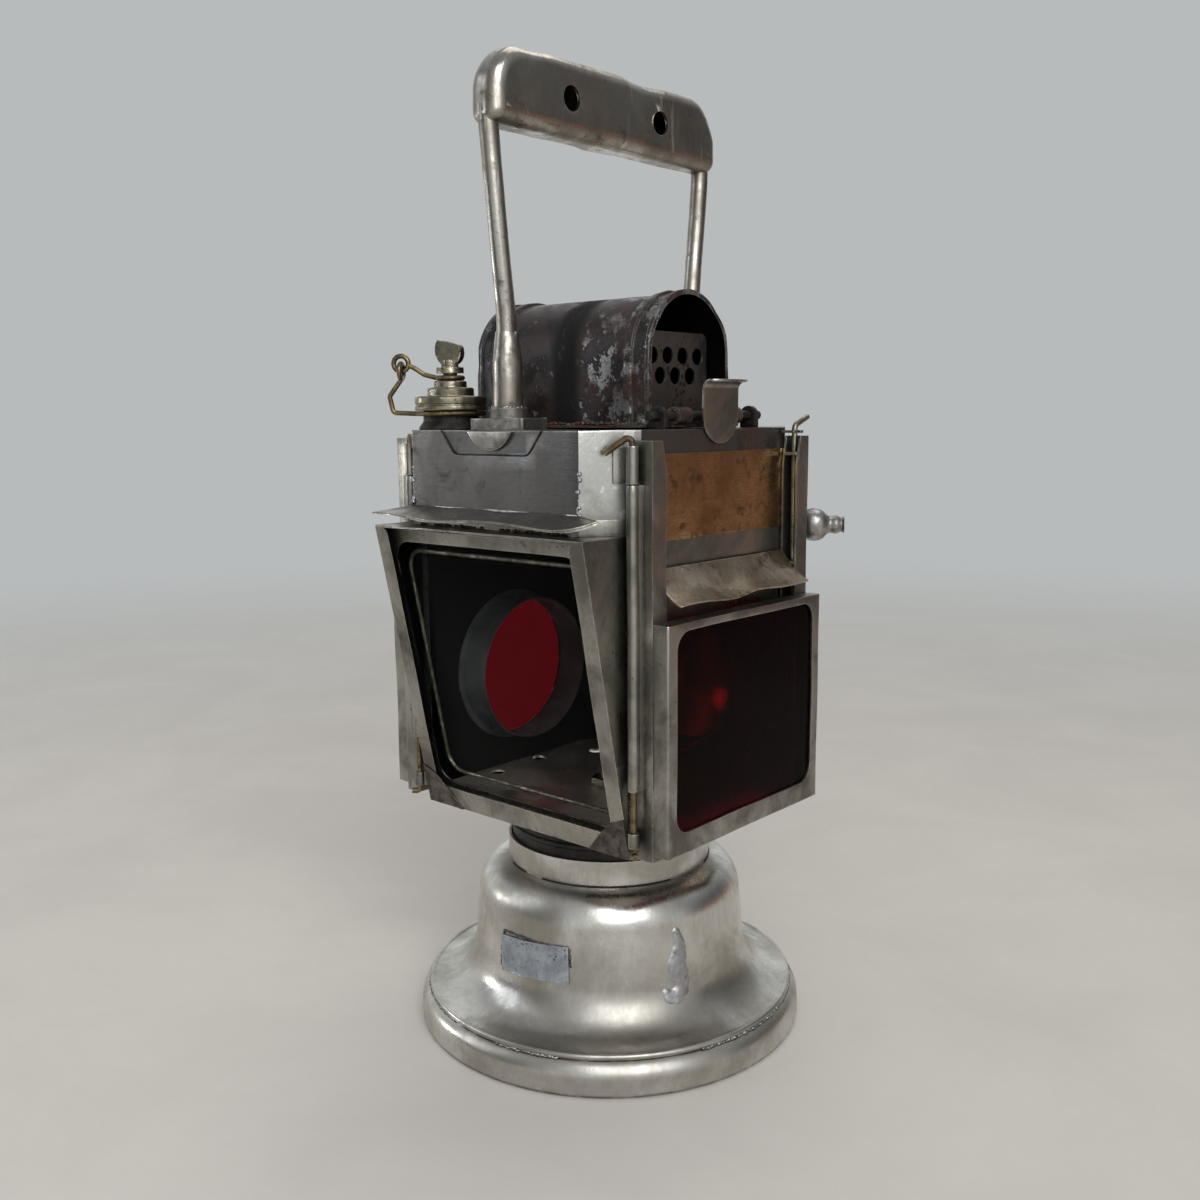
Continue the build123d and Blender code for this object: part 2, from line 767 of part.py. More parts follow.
def make_lift_tab():
    """Strip on the side wall, round below, curling outwards into a finger lip above."""
    x = head_x
    half = tab_w / 2
    flat_top = tab_top_z - tab_bend_r - tab_t
    outline = [Line((0, -half, flat_top), (0, half, flat_top)),
               Line((0, -half, flat_top), (0, -half, tab_low_z + half * 0.8)),
               ThreePointArc((0, -half, tab_low_z + half * 0.8), (0, 0, tab_low_z),
                             (0, half, tab_low_z + half * 0.8)),
               Line((0, half, tab_low_z + half * 0.8), (0, half, flat_top))]
    strip = Pos(x, 0, 0) * extrude(make_face(outline), tab_t, dir=(1, 0, 0))
    outer = tab_bend_r + tab_t
    bend = Pos(x + outer, 0, flat_top) * Rot(90, 0, 0) * Cylinder(outer, tab_w)
    bend -= Pos(x + outer, 0, flat_top) * Rot(90, 0, 0) * Cylinder(tab_bend_r, tab_w + 2)
    bend &= block(x, x + outer, -half, half, flat_top, flat_top + outer)
    lip_sketch = Pos(x + outer, 0) * Ellipse(tab_lip, half)
    lip = Pos(0, 0, flat_top + tab_bend_r) * extrude(lip_sketch, tab_t)
    lip &= block(x + outer, x + outer + tab_lip, -half, half, flat_top, flat_top + outer)
    return strip + bend + lip


def make_filler_neck():
    low = post_round(solder_r, tank_top_z, tank_top_z + 2.4, filler_x, filler_y)
    low = chamfer(low.edges().group_by(Axis.Z)[-1], 1.6)
    neck = low + post_round(neck_r, tank_top_z, filler_top_z, filler_x, filler_y)
    return neck - post_round(filler_bore_r, tank_top_z - 1, filler_top_z + 1, filler_x, filler_y)


def make_filler_cap():
    """Cap with the two collars that guide the screw plug, bored for it."""
    cap = post_round(cap_r, filler_top_z, cap_top_z, filler_x, filler_y)
    cap = fillet(cap.edges().filter_by(GeomType.CIRCLE), 0.7)
    cap += post_round(collar2_r, cap_top_z, cap_top_z + collar2_h, filler_x, filler_y)
    cap += post_round(collar1_r, cap_top_z, collar_stack_z, filler_x, filler_y)
    bore_low = collar_stack_z - plug_depth - 0.5
    bore = post_round(plug_r + plug_play, bore_low, collar_stack_z + 1, filler_x, filler_y)
    return cap - bore


def make_screw_plug():
    """Wing key on its screw, with the washer collar turned on it."""
    washer_z = collar_stack_z + washer_rise
    top_z = washer_z + washer_h
    plug = post_round(plug_r, collar_stack_z - plug_depth, top_z)
    plug += post_round(washer_r, washer_z, top_z)
    neck_h = 2.4
    plug += post_round(wing_w * 0.3, top_z, top_z + neck_h)
    low = top_z + 1.0
    half = wing_w / 2
    outline = [Line((-half * 0.5, 0, low), (half * 0.5, 0, low)),
               ThreePointArc((half * 0.5, 0, low), (half, 0, low + wing_h * 0.42),
                             (half * 0.8, 0, low + wing_h * 0.8)),
               Line((half * 0.8, 0, low + wing_h * 0.8), (-half * 0.8, 0, low + wing_h)),
               ThreePointArc((-half * 0.8, 0, low + wing_h), (-half, 0, low + wing_h * 0.55),
                             (-half * 0.5, 0, low))]
    wing = Pos(0, wing_t / 2, 0) * extrude(make_face(outline), wing_t, dir=(0, -1, 0))
    return Pos(filler_x, filler_y, 0) * Rot(0, 0, wing_turn) * (plug + wing)


def keeper_at(reach, z):
    return (filler_x + keeper_out_x * reach, filler_y + keeper_out_y * reach, z)


def make_keeper_upper():
    """Wire ring round the plug, an arm, and an eye in the arm's own upright plane."""
    ring_r = plug_r + plug_play + keeper_wire_r + 0.9
    ring_z = collar_stack_z + keeper_wire_r + keeper_play
    ring = Pos(filler_x, filler_y, ring_z) * Torus(ring_r, keeper_wire_r)
    aim = degrees(atan2(keeper_out_y, keeper_out_x))
    eye = Rot(0, 0, aim) * Rot(90, 0, 0) * Torus(keeper_eye_r, keeper_wire_r)
    eye = Pos(*keeper_at(keeper_reach, keeper_eye_z)) * eye
    arm_end = keeper_at(keeper_reach - keeper_eye_r, keeper_eye_z - 0.6)
    arm = rod_between(keeper_at(ring_r, ring_z), arm_end, keeper_wire_r)
    return ring + arm + eye


def make_keeper_lower():
    """Wire ring round the filler neck, led up to an eye linked through the upper one."""
    ring_r = neck_r + keeper_play + keeper_wire_r + 0.6
    ring_z = filler_top_z - keeper_wire_r - keeper_play
    ring = Pos(filler_x, filler_y, ring_z) * Torus(ring_r, keeper_wire_r)
    aim = degrees(atan2(keeper_out_y, keeper_out_x))
    eye_z = keeper_eye_z - keeper_eye_r
    eye = Rot(0, 0, aim) * Rot(0, 90, 0) * Torus(keeper_eye_r, keeper_wire_r)
    eye = Pos(*keeper_at(keeper_reach, eye_z)) * eye
    points = [keeper_at(ring_r, ring_z), keeper_at(keeper_low_reach, ring_z + 0.4),
              keeper_at(keeper_low_reach + 1.2, ring_z + 6.0), keeper_at(keeper_reach, eye_z - keeper_eye_r)]
    return ring + bent_wire(points, 1.6, keeper_wire_r) + eye


# Chimney

def arch(r, x0, x1):
    """Solid arch from the deck up, straight sides and a round top."""
    outline = [Line((0, -r, deck_top_z), (0, r, deck_top_z)),
               Line((0, r, deck_top_z), (0, r, stack_mid_z)),
               ThreePointArc((0, r, stack_mid_z), (0, 0, stack_mid_z + r), (0, -r, stack_mid_z)),
               Line((0, -r, stack_mid_z), (0, -r, deck_top_z))]
    return Pos(x0, 0, 0) * extrude(make_face(outline), x1 - x0, dir=(1, 0, 0))


def make_stack():
    stack = arch(stack_r, stack_left_x, stack_right_x)
    for x in (-stack_bead_x - 4, stack_bead_x - 1.5):
        bead = arch(stack_r + stack_bead_r, x - 1.8, x + 1.8)
        ridge = bead.edges().filter_by(Axis.X, reverse=True)
        stack += fillet(ridge.filter_by_position(Axis.Z, deck_top_z + 0.1, 400), stack_bead_r * 0.9)
    for x0, x1 in ((stack_left_x, stack_left_x + 1.8), (stack_right_x - 1.8, stack_right_x)):
        stack += arch(stack_r + stack_rim_r, x0, x1)
    bore = arch(stack_r - stack_wall, stack_left_x - 1, stack_right_x + 1)
    half = stack_r - stack_wall
    return stack - bore - block(stack_left_x - 1, stack_right_x + 1, -half, half, deck_low_z, deck_top_z + 1)


def make_deck():
    deck = block(deck_left_x, deck_x, -deck_y, deck_y, deck_low_z, deck_top_z)
    deck = fillet(deck.edges().filter_by(Axis.Z), 3.0)
    deck -= flue_hole(0, deck_low_z - 1, deck_top_z + 1)
    for side in (-1, 1):
        y0 = side * stack_knuckle_y - stack_knuckle_w / 2
        y1 = y0 + stack_knuckle_w
        spot = Pos(rod_x, side * stack_knuckle_y, rod_z) * Rot(90, 0, 0)
        knuckle = spot * Cylinder(stack_knuckle_r, stack_knuckle_w)
        leaf = block(deck_x - 1, rod_x, y0, y1, deck_low_z, deck_top_z + 1)
        bore = spot * Cylinder(rod_r + rod_play, stack_knuckle_w + 2)
        deck = deck + leaf + knuckle - bore
    return deck


def make_baffles():
    """Upright plates with two staggered rows of holes, one near each end of the stack."""
    height = baffle_top_z - deck_top_z
    sketch = Pos(0, height / 2) * Rectangle(2 * baffle_y, height)
    sketch = fillet(sketch.vertices().group_by(Axis.Y)[-1], baffle_corner_r)
    row_z = baffle_row_z - deck_top_z
    with_holes = sketch
    for count, drop in ((4, 0.0), (3, baffle_row_drop)):
        for step in range(count):
            y = (step - (count - 1) / 2) * baffle_pitch
            with_holes -= Pos(y, row_z - drop) * Circle(baffle_hole_r)
    plane = Plane(origin=(baffle_x, 0, deck_top_z), x_dir=(0, 1, 0), z_dir=(1, 0, 0))
    right = extrude(plane * with_holes, baffle_t)
    return right + mirrored(right)


def make_stack_rod():
    return Pos(rod_x, 0, rod_z) * Rot(90, 0, 0) * Cylinder(rod_r, 2 * rod_half)


def make_stack_lugs():
    """Two ears on the tank top that carry the chimney's rod."""
    lugs = None
    for side in (-1, 1):
        y = side * lug_y
        lug = Pos(rod_x, y, rod_z) * Rot(90, 0, 0) * Cylinder(lug_r, lug_t)
        lug += block(rod_x - lug_r, rod_x + lug_r, y - lug_t / 2, y + lug_t / 2, tank_top_z, rod_z)
        lug -= Pos(rod_x, y, rod_z) * Rot(90, 0, 0) * Cylinder(rod_r, lug_t + 2)
        lugs = lug if lugs is None else lugs + lug
    return lugs


# Handle

def make_handle_feet():
    feet = None
    for side in (-1, 1):
        y = side * handle_foot_y
        plate = block(-foot_plate_x / 2, foot_plate_x / 2, y - foot_plate_y / 2, y + foot_plate_y / 2,
                      tank_top_z, tank_top_z + foot_plate_t)
        plate = fillet(plate.edges().filter_by(Axis.Z), 1.2)
        plate_top = tank_top_z + foot_plate_t
        collar = post_round(foot_collar_r, plate_top, plate_top + foot_collar_h, 0, y)
        foot = plate + collar - post_round(handle_rod_r, plate_top, plate_top + foot_collar_h + 1, 0, y)
        feet = foot if feet is None else feet + foot
    return feet


def make_handle_sleeves():
    low = tank_top_z + foot_plate_t + foot_collar_h
    sleeves = None
    for side in (-1, 1):
        y = side * handle_foot_y
        tube = post_round(sleeve_r, low, low + sleeve_h, 0, y)
        cone = Cone(sleeve_r, handle_rod_r + 0.35, sleeve_neck_h)
        cone = Pos(0, y, low + sleeve_h + sleeve_neck_h / 2) * cone
        sleeve = tube + cone - post_round(handle_rod_r + rod_play_in_sleeve, low - 1, low + 40, 0, y)
        sleeves = sleeve if sleeves is None else sleeves + sleeve
    return sleeves


def make_handle_rods():
    low = tank_top_z + foot_plate_t
    rods = None
    for side in (-1, 1):
        points = [(0, side * handle_foot_y, low), (0, side * handle_foot_y, rod_bend_z),
                  (0, side * rod_lean_y, rod_lean_z), (0, side * handle_top_y, grip_low_z),
                  (0, side * handle_top_y, grip_low_z + rod_in_grip)]
        path = FilletPolyline(*points, radius=rod_bend_r)
        rod = sweep(Plane(origin=path @ 0, z_dir=path % 0) * Circle(handle_rod_r), path=path)
        rods = rod if rods is None else rods + rod
    return rods


def grip_body(inset):
    low, high = grip_low_z + inset, grip_top_z - inset
    half = grip_half_y - inset
    face = make_face(Polyline((0, -half, low), (0, half, low), (0, half, high), (0, -half, high), close=True))
    tops = face.vertices().group_by(Axis.Z)[-1]
    lows = face.vertices().group_by(Axis.Z)[0]
    face = fillet(tops, grip_corner_r - inset)
    lows = face.vertices().group_by(Axis.Z)[0]
    face = fillet(lows, grip_low_corner_r - min(inset, grip_low_corner_r - 1))
    body = Pos(-(grip_half_x - inset), 0, 0) * extrude(face, 2 * (grip_half_x - inset), dir=(1, 0, 0))
    edges = body.faces().sort_by(Axis.X)[0].edges() + body.faces().sort_by(Axis.X)[-1].edges()
    return fillet(edges, grip_edge_r - inset)


def make_grip():
    """Hollow folded-sheet grip with two round holes through both faces."""
    grip = grip_body(0) - grip_body(grip_sheet)
    for side in (-1, 1):
        hole = Rot(0, 90, 0) * Cylinder(grip_hole_r, 4 * grip_half_x)
        grip -= Pos(0, side * grip_hole_y, grip_hole_z) * hole
    return grip


# Doors, drawn for the right-hand side and closed

def make_posts():
    """Two channels that face each other, their outer flanges cut back towards the top."""
    channel = block(post_in_x, post_out_x, -post_y, -post_y + post_w, post_low_z, post_top_z)
    channel -= block(post_in_x + post_sheet, post_out_x - post_sheet, -post_y + post_sheet, 0,
                     post_low_z - 1, post_top_z + 1)
    flange_y = -post_y + post_w
    taper_z = post_top_z - post_taper
    taper = make_face(Polyline((0, flange_y, taper_z), (0, flange_y + 1, taper_z),
                               (0, flange_y + 1, post_top_z + 1),
                               (0, flange_y - post_taper_w, post_top_z + 1), close=True))
    channel -= Pos(post_in_x - 1, 0, 0) * extrude(taper, post_depth + 2, dir=(1, 0, 0))
    far = mirror(channel, about=Plane.XZ)
    for z in latch_lug_zs:
        lug = block(post_in_x + post_sheet, post_out_x - post_sheet, post_y - post_w, post_y - post_sheet,
                    z, z + latch_lug_t)
        far += lug - post_round(latch_r + pin_play, z - 1, z + 3, latch_x, latch_y)
    return channel + far


def make_latch_pin():
    points = [(latch_x, latch_y, latch_low_z), (latch_x, latch_y, latch_top_z),
              (latch_x, latch_y + latch_hook, latch_top_z + latch_hook_rise)]
    return bent_wire(points, 1.6, latch_r)


def make_glass_frame():
    frame = block(post_out_x, frame_out_x, -post_y, post_y, frame_low_z, frame_top_z)
    frame = fillet(frame.edges().filter_by(Axis.Z).group_by(Axis.X)[-1], 1.0)
    frame -= block(post_out_x - 1, frame_out_x - frame_sheet, -post_y + frame_sheet, post_y - frame_sheet,
                   frame_low_z + frame_sheet, frame_top_z - frame_sheet)
    plane = Plane(origin=(post_out_x, 0, 0), x_dir=(0, 1, 0), z_dir=(1, 0, 0))
    opening = rounded_panel(pane_y, pane_low_z, pane_top_z, pane_corner_r)
    return frame - extrude(plane * opening, frame_depth + 2)


def make_red_glass():
    front_x_face = frame_out_x - frame_sheet - pane_play
    inset = frame_sheet + pane_play
    return block(front_x_face - red_glass_t, front_x_face, -post_y + inset, post_y - inset,
                 frame_low_z + inset, frame_top_z - inset)


def make_glass_spring():
    """Bent wire that holds the red glass against its frame."""
    x = frame_out_x - frame_sheet - 2 * pane_play - red_glass_t
    plane = Plane(origin=(x, 0, 0), x_dir=(0, 1, 0), z_dir=(1, 0, 0))
    outer = rounded_panel(post_y - spring_inset, frame_low_z + spring_inset, frame_top_z - spring_inset, 4.0)
    ring = outer - offset(outer, -2 * spring_wire_r)
    return extrude(plane * ring, -2 * spring_wire_r)


def make_side_visor(posts):
    """Small hood over the red glass, between the posts, with a dented lip."""
    inner_y = post_y - post_w
    x_root = post_in_x + post_sheet
    x_lip = x_root + side_visor_reach
    lip_points = []
    for share, lift in ((0.0, -0.3), (0.2, -0.2), (0.42, -1.1), (0.58, 0.9), (0.75, 0.3), (1.0, 0.5)):
        y = -inner_y + share * 2 * inner_y
        lip_points.append((x_lip, y, side_visor_lip_z + lift * side_visor_wave))
    hood = wavy_sheet((x_root, -inner_y, side_visor_root_z), (x_root, inner_y, side_visor_root_z),
                      lip_points, side_visor_t)
    return hood - posts


def knuckle(z0, z1):
    bore = post_round(pin_r + pin_play, z0 - 1, z1 + 1, pin_x, pin_y)
    return post_round(knuckle_r, z0, z1, pin_x, pin_y) - bore


def strip_in_plan(start, end, thickness, z0, z1):
    """Upright strip between two plan points."""
    run = Vector(end[0] - start[0], end[1] - start[1], 0)
    turn = degrees(atan2(run.Y, run.X))
    strip = Pos(run.length / 2, 0, 0) * Box(run.length, thickness, z1 - z0)
    return Pos(start[0], start[1], (z0 + z1) / 2) * Rot(0, 0, turn) * strip


def make_door_knuckle(posts, web_point):
    """Long knuckle with the leaf that joins it to the near post."""
    z0, z1 = door_knuckle_low_z, knuckle_split_z
    leaf = strip_in_plan((pin_x + 0.6, pin_y), web_point, leaf_t, z0, z1)
    leaf -= post_round(pin_r + pin_play, z0 - 1, z1 + 1, pin_x, pin_y)
    return knuckle(z0, z1) + leaf - posts


def make_hinge_leaves():
    """Short fixed knuckles, above and below, each with a leaf soldered on the corner wall."""
    leaves = None
    out = Vector(corner_out.X, -corner_out.Y, 0)
    along = Vector(-corner_out.Y, -corner_out.X, 0)
    pin = Vector(pin_x, pin_y, 0)
    reach = out.dot(pin) - out.dot(Vector(front_x, -head_y, 0))
    foot = pin - out * (reach - leaf_t / 2)
    solid_head = octagon(0, head_bottom_z - 1, tank_top_z + 1)
    cheek_room = block(front_x, hood_x, lip_top_y, cheek_back_y, lip_low_z, roof_z)
    for z0, z1, pad_len in ((knuckle_split_z + knuckle_split, knuckle_top_z, leaf_w),
                            (low_knuckle_low_z, low_knuckle_top_z, -3.2)):
        arm = strip_in_plan((pin_x, pin_y), (foot.X, foot.Y), leaf_t, z0, z1)
        end = foot + along * pad_len
        pad = strip_in_plan((foot.X, foot.Y), (end.X, end.Y), leaf_t, z0, z1)
        bore = post_round(pin_r + pin_play, z0 - 1, z1 + 1, pin_x, pin_y)
        piece = knuckle(z0, z1) + (arm + pad - bore) - solid_head - cheek_room
        leaves = piece if leaves is None else leaves + piece
    return leaves


def make_hinge_pin():
    points = [(pin_x + pin_foot_x, pin_y + pin_foot_y, pin_low_z), (pin_x, pin_y, pin_low_z),
              (pin_x, pin_y, pin_top_z),
              (pin_x + pin_hook_x, pin_y + pin_hook_y, pin_top_z - pin_hook_drop)]
    return bent_wire(points, 1.5, pin_r)


def make_door_catch():
    """Open-mouthed catch on the tank wall for the latch pin."""
    plate = block(head_x, head_x + catch_reach, latch_y - catch_w / 2, latch_y + catch_w / 2,
                  catch_z, catch_z + catch_t)
    half = latch_r + catch_play
    plate -= post_round(half, catch_z - 1, catch_z + 2, latch_x, latch_y)
    plate -= block(latch_x, head_x + catch_reach + 1, latch_y - half, latch_y + half,
                   catch_z - 1, catch_z + 2)
    return plate - octagon(0, tank_floor_z, tank_top_z)


def lean(shape):
    """Turn a closed door's piece about its rear edge, so that its front stands off."""
    rear = Pos(pin_x, post_y, 0)
    return rear * Rot(0, 0, left_door_lean) * Pos(-pin_x, -post_y, 0) * shape


def save(name, *pieces):
    """Write one node; pieces that stay apart in it are kept as solids of their own."""
    shape = pieces[0] if len(pieces) == 1 else Compound(children=list(pieces))
    export_step(shape, f"parts/{name}.step")


# Base body
save("foot_ring", make_foot_ring())
save("bottom_plate", make_bottom_plate())
save("base_bell", make_base_bell())
save("number_tag", make_number_tag())
save("carbide_can", make_carbide_can())
save("can_lid", make_can_lid())
save("base_gasket", make_gasket())

# Head body
chamber = make_chamber()
hood = make_hood()
light_tube = make_light_tube()
lift_tab = make_lift_tab()
hinge_leaves = make_hinge_leaves()
hinge_pin = make_hinge_pin()
door_catch = make_door_catch()
rods = make_handle_rods()
save("neck_tube", make_neck())
save("floor_plate", make_floor_plate())
save("chamber_shell", chamber)
save("window_hood", hood)
save("corner_patches", make_corner_patches())
save("window_frame", make_window_frame(chamber, hood))
save("front_glass", make_front_glass())
save("window_retainer", make_window_retainer())
save("front_visor", make_front_visor())
save("water_tank", make_tank())
save("tank_front_tab", make_front_tab())
save("light_tubes", light_tube, mirrored(light_tube))
save("reflector", make_reflector())
save("burner_riser", make_burner_riser())
save("burner_tip", make_burner_tip())
save("drip_cock", make_drip_cock())
save("drip_pipe", make_drip_pipe())
save("name_plate", make_name_plate())
save("lift_tabs", lift_tab, mirrored(lift_tab))
save("hinge_leaves", hinge_leaves, mirrored(hinge_leaves))
save("hinge_pins", hinge_pin, mirrored(hinge_pin))
save("door_catches", door_catch, mirrored(door_catch))
save("filler_neck", make_filler_neck())
save("filler_cap", make_filler_cap())
save("keeper_upper", make_keeper_upper())
save("keeper_lower", make_keeper_lower())
save("stack_rod", make_stack_rod())
save("stack_lugs", make_stack_lugs())
save("handle_feet", make_handle_feet())
save("handle_sleeves", make_handle_sleeves())
save("handle_rods", rods)
save("handle_grip", make_grip() - rods)

# Turning pieces and the chimney
save("regulator_knob", make_regulator_knob())
save("screw_plug", make_screw_plug())
save("chimney_deck", make_deck())
save("chimney_stack", make_stack())
save("chimney_baffles", make_baffles())

# Doors: the right one, and its mirror image leaning off the wall
posts = make_posts()
web = Vector(post_in_x + post_depth * 0.45, -post_y + 0.2, 0)
leaning_web = web - Vector(pin_x, post_y, 0)
leaning_web = Vector(pin_x, post_y, 0) + leaning_web.rotate(Axis.Z, left_door_lean)
door = {
    "posts": posts,
    "glass_frame": make_glass_frame(),
    "red_glass": make_red_glass(),
    "glass_spring": make_glass_spring(),
    "visor": make_side_visor(posts),
    "latch_pin": make_latch_pin(),
}
for piece, shape in door.items():
    save("right_" + piece, shape)
    save("left_" + piece, mirrored(lean(shape)))
save("right_knuckle", make_door_knuckle(posts, (web.X, web.Y)))
save("left_knuckle", mirrored(make_door_knuckle(lean(posts), (leaning_web.X, leaning_web.Y))))
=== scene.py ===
"""Finish of a carbide railway signal lamp: worn sheets, spun base, wires, solder, glass and paint."""

import json
import math

import bmesh
import bpy
from bpy.props import FloatProperty, FloatVectorProperty, IntProperty, PointerProperty
from mathutils import Matrix, Vector, noise

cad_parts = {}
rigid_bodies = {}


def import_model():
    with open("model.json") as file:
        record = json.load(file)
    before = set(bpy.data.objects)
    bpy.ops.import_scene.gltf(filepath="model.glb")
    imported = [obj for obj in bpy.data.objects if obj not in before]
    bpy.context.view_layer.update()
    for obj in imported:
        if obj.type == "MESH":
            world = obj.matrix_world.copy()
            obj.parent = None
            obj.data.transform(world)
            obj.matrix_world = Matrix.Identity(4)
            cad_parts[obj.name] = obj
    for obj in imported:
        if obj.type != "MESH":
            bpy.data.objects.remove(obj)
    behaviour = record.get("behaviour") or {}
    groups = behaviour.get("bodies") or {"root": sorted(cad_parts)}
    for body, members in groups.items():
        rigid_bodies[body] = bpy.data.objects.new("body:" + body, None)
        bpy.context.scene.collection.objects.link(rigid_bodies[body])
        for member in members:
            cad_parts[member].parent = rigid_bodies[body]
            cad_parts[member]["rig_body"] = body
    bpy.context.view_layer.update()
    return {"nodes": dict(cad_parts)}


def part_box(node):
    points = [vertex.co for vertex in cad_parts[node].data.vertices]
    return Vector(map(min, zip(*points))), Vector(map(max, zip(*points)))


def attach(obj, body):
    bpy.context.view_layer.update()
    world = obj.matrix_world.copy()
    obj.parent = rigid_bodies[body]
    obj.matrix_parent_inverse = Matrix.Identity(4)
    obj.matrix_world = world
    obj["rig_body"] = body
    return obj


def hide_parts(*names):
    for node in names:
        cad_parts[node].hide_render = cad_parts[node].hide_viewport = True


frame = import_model()

bl_info = {
    "name": "Carbide signal lamp",
    "version": (1, 0, 0),
    "blender": (4, 5, 0),
    "location": "3D View > Sidebar > Lamp",
    "description": "Dresses the packed frame of a carbide signal lamp with worn metal and glass",
    "category": "Object",
}

MM = 0.001
FINE_STEP = 3 * MM
THIN_EDGE = 0.15 * MM
MERGE_REACH = 2e-6
NODES = frame["nodes"]


def tone(red, green, blue):
    """A colour given as it is seen on a screen, 0 to 255, as Blender's linear values."""
    return tuple((part / 255 / 12.92) if part < 10 else ((part / 255 + 0.055) / 1.055) ** 2.4
                 for part in (red, green, blue))


def colour_property(name, description, colour):
    return FloatVectorProperty(name=name, description=description, subtype="COLOR", size=3,
                               min=0.0, max=1.0, default=colour)


def length_property(name, description, default):
    return FloatProperty(name=name, description=description, default=default, min=0.0,
                         unit="LENGTH", subtype="DISTANCE", precision=5)


def power_property(name, description, default):
    return FloatProperty(name=name, description=description, default=default, min=0.0, unit="POWER")


class LampSheets(bpy.types.PropertyGroup):
    """How the folded sheets are softened."""

    edge_width: length_property("Edge width", "Width of the rounded edge of a sheet", 0.22 * MM)
    grid_step: length_property("Grid step", "Spacing of the cuts that let a sheet warp", 6 * MM)
    warp_depth: length_property("Warp depth", "How far a sheet wanders from flat", 0.28 * MM)
    warp_size: length_property("Warp size", "Distance between two warps", 27 * MM)


class LampSpinning(bpy.types.PropertyGroup):
    """The spun base."""

    turns: IntProperty(name="Steps round", description="Faces round a spun piece", default=144,
                       min=24, max=512)
    dent_depth: length_property("Dent depth", "How deep the bell's dents are", 0.5 * MM)
    dent_size: length_property("Dent size", "Distance between two dents", 24 * MM)
    hem_radius: length_property("Hem radius", "Radius of the rolled hem of the bell", 1.1 * MM)


class LampWires(bpy.types.PropertyGroup):
    """Pins, keepers and springs."""

    steps_round: IntProperty(name="Steps round", description="Faces round a wire", default=14,
                             min=6, max=64)
    pin_radius: length_property("Pin radius", "Radius of hinge and latch pins", 1.0 * MM)
    keeper_radius: length_property("Keeper radius", "Radius of the filler's keeper wire", 0.85 * MM)
    spring_radius: length_property("Spring radius", "Radius of the wire behind the glass", 0.6 * MM)


class LampColours(bpy.types.PropertyGroup):
    """Colours of the finishes."""

    nickel: colour_property("Nickel", "Bright nickel silver", tone(169, 166, 158))
    nickel_dull: colour_property("Dull nickel", "Smudged nickel silver", tone(110, 107, 100))
    # Partly the tank sheet's own dark colour, partly a painted dark reflection.
    tank: colour_property("Tank", "Dark worn tank sheet", tone(121, 120, 118))
    brass: colour_property("Brass", "Aged brass", tone(166, 160, 140))
    plate: colour_property("Name plate", "Brown brass of the name plate", tone(202, 168, 124))
    paint: colour_property("Stack paint", "Dark paint on the chimney", tone(30, 25, 25))
    ruby: colour_property("Ruby glass", "Colour of the side glasses", (0.13, 0.0015, 0.005))
    clear: colour_property("Clear glass", "Colour of the front glass", (0.97, 0.99, 0.98))


class LampStage(bpy.types.PropertyGroup):
    """Floor, background and lamps."""

    floor: colour_property("Floor", "Colour of the floor", tone(212, 206, 198))
    background: colour_property("Background", "Colour behind the lamp", tone(184, 187, 187))
    window_power: power_property("Window power", "Power of the large soft light", 7.0)
    fill_power: power_property("Fill power", "Power of the weaker soft lights", 1.6)


# Node trees

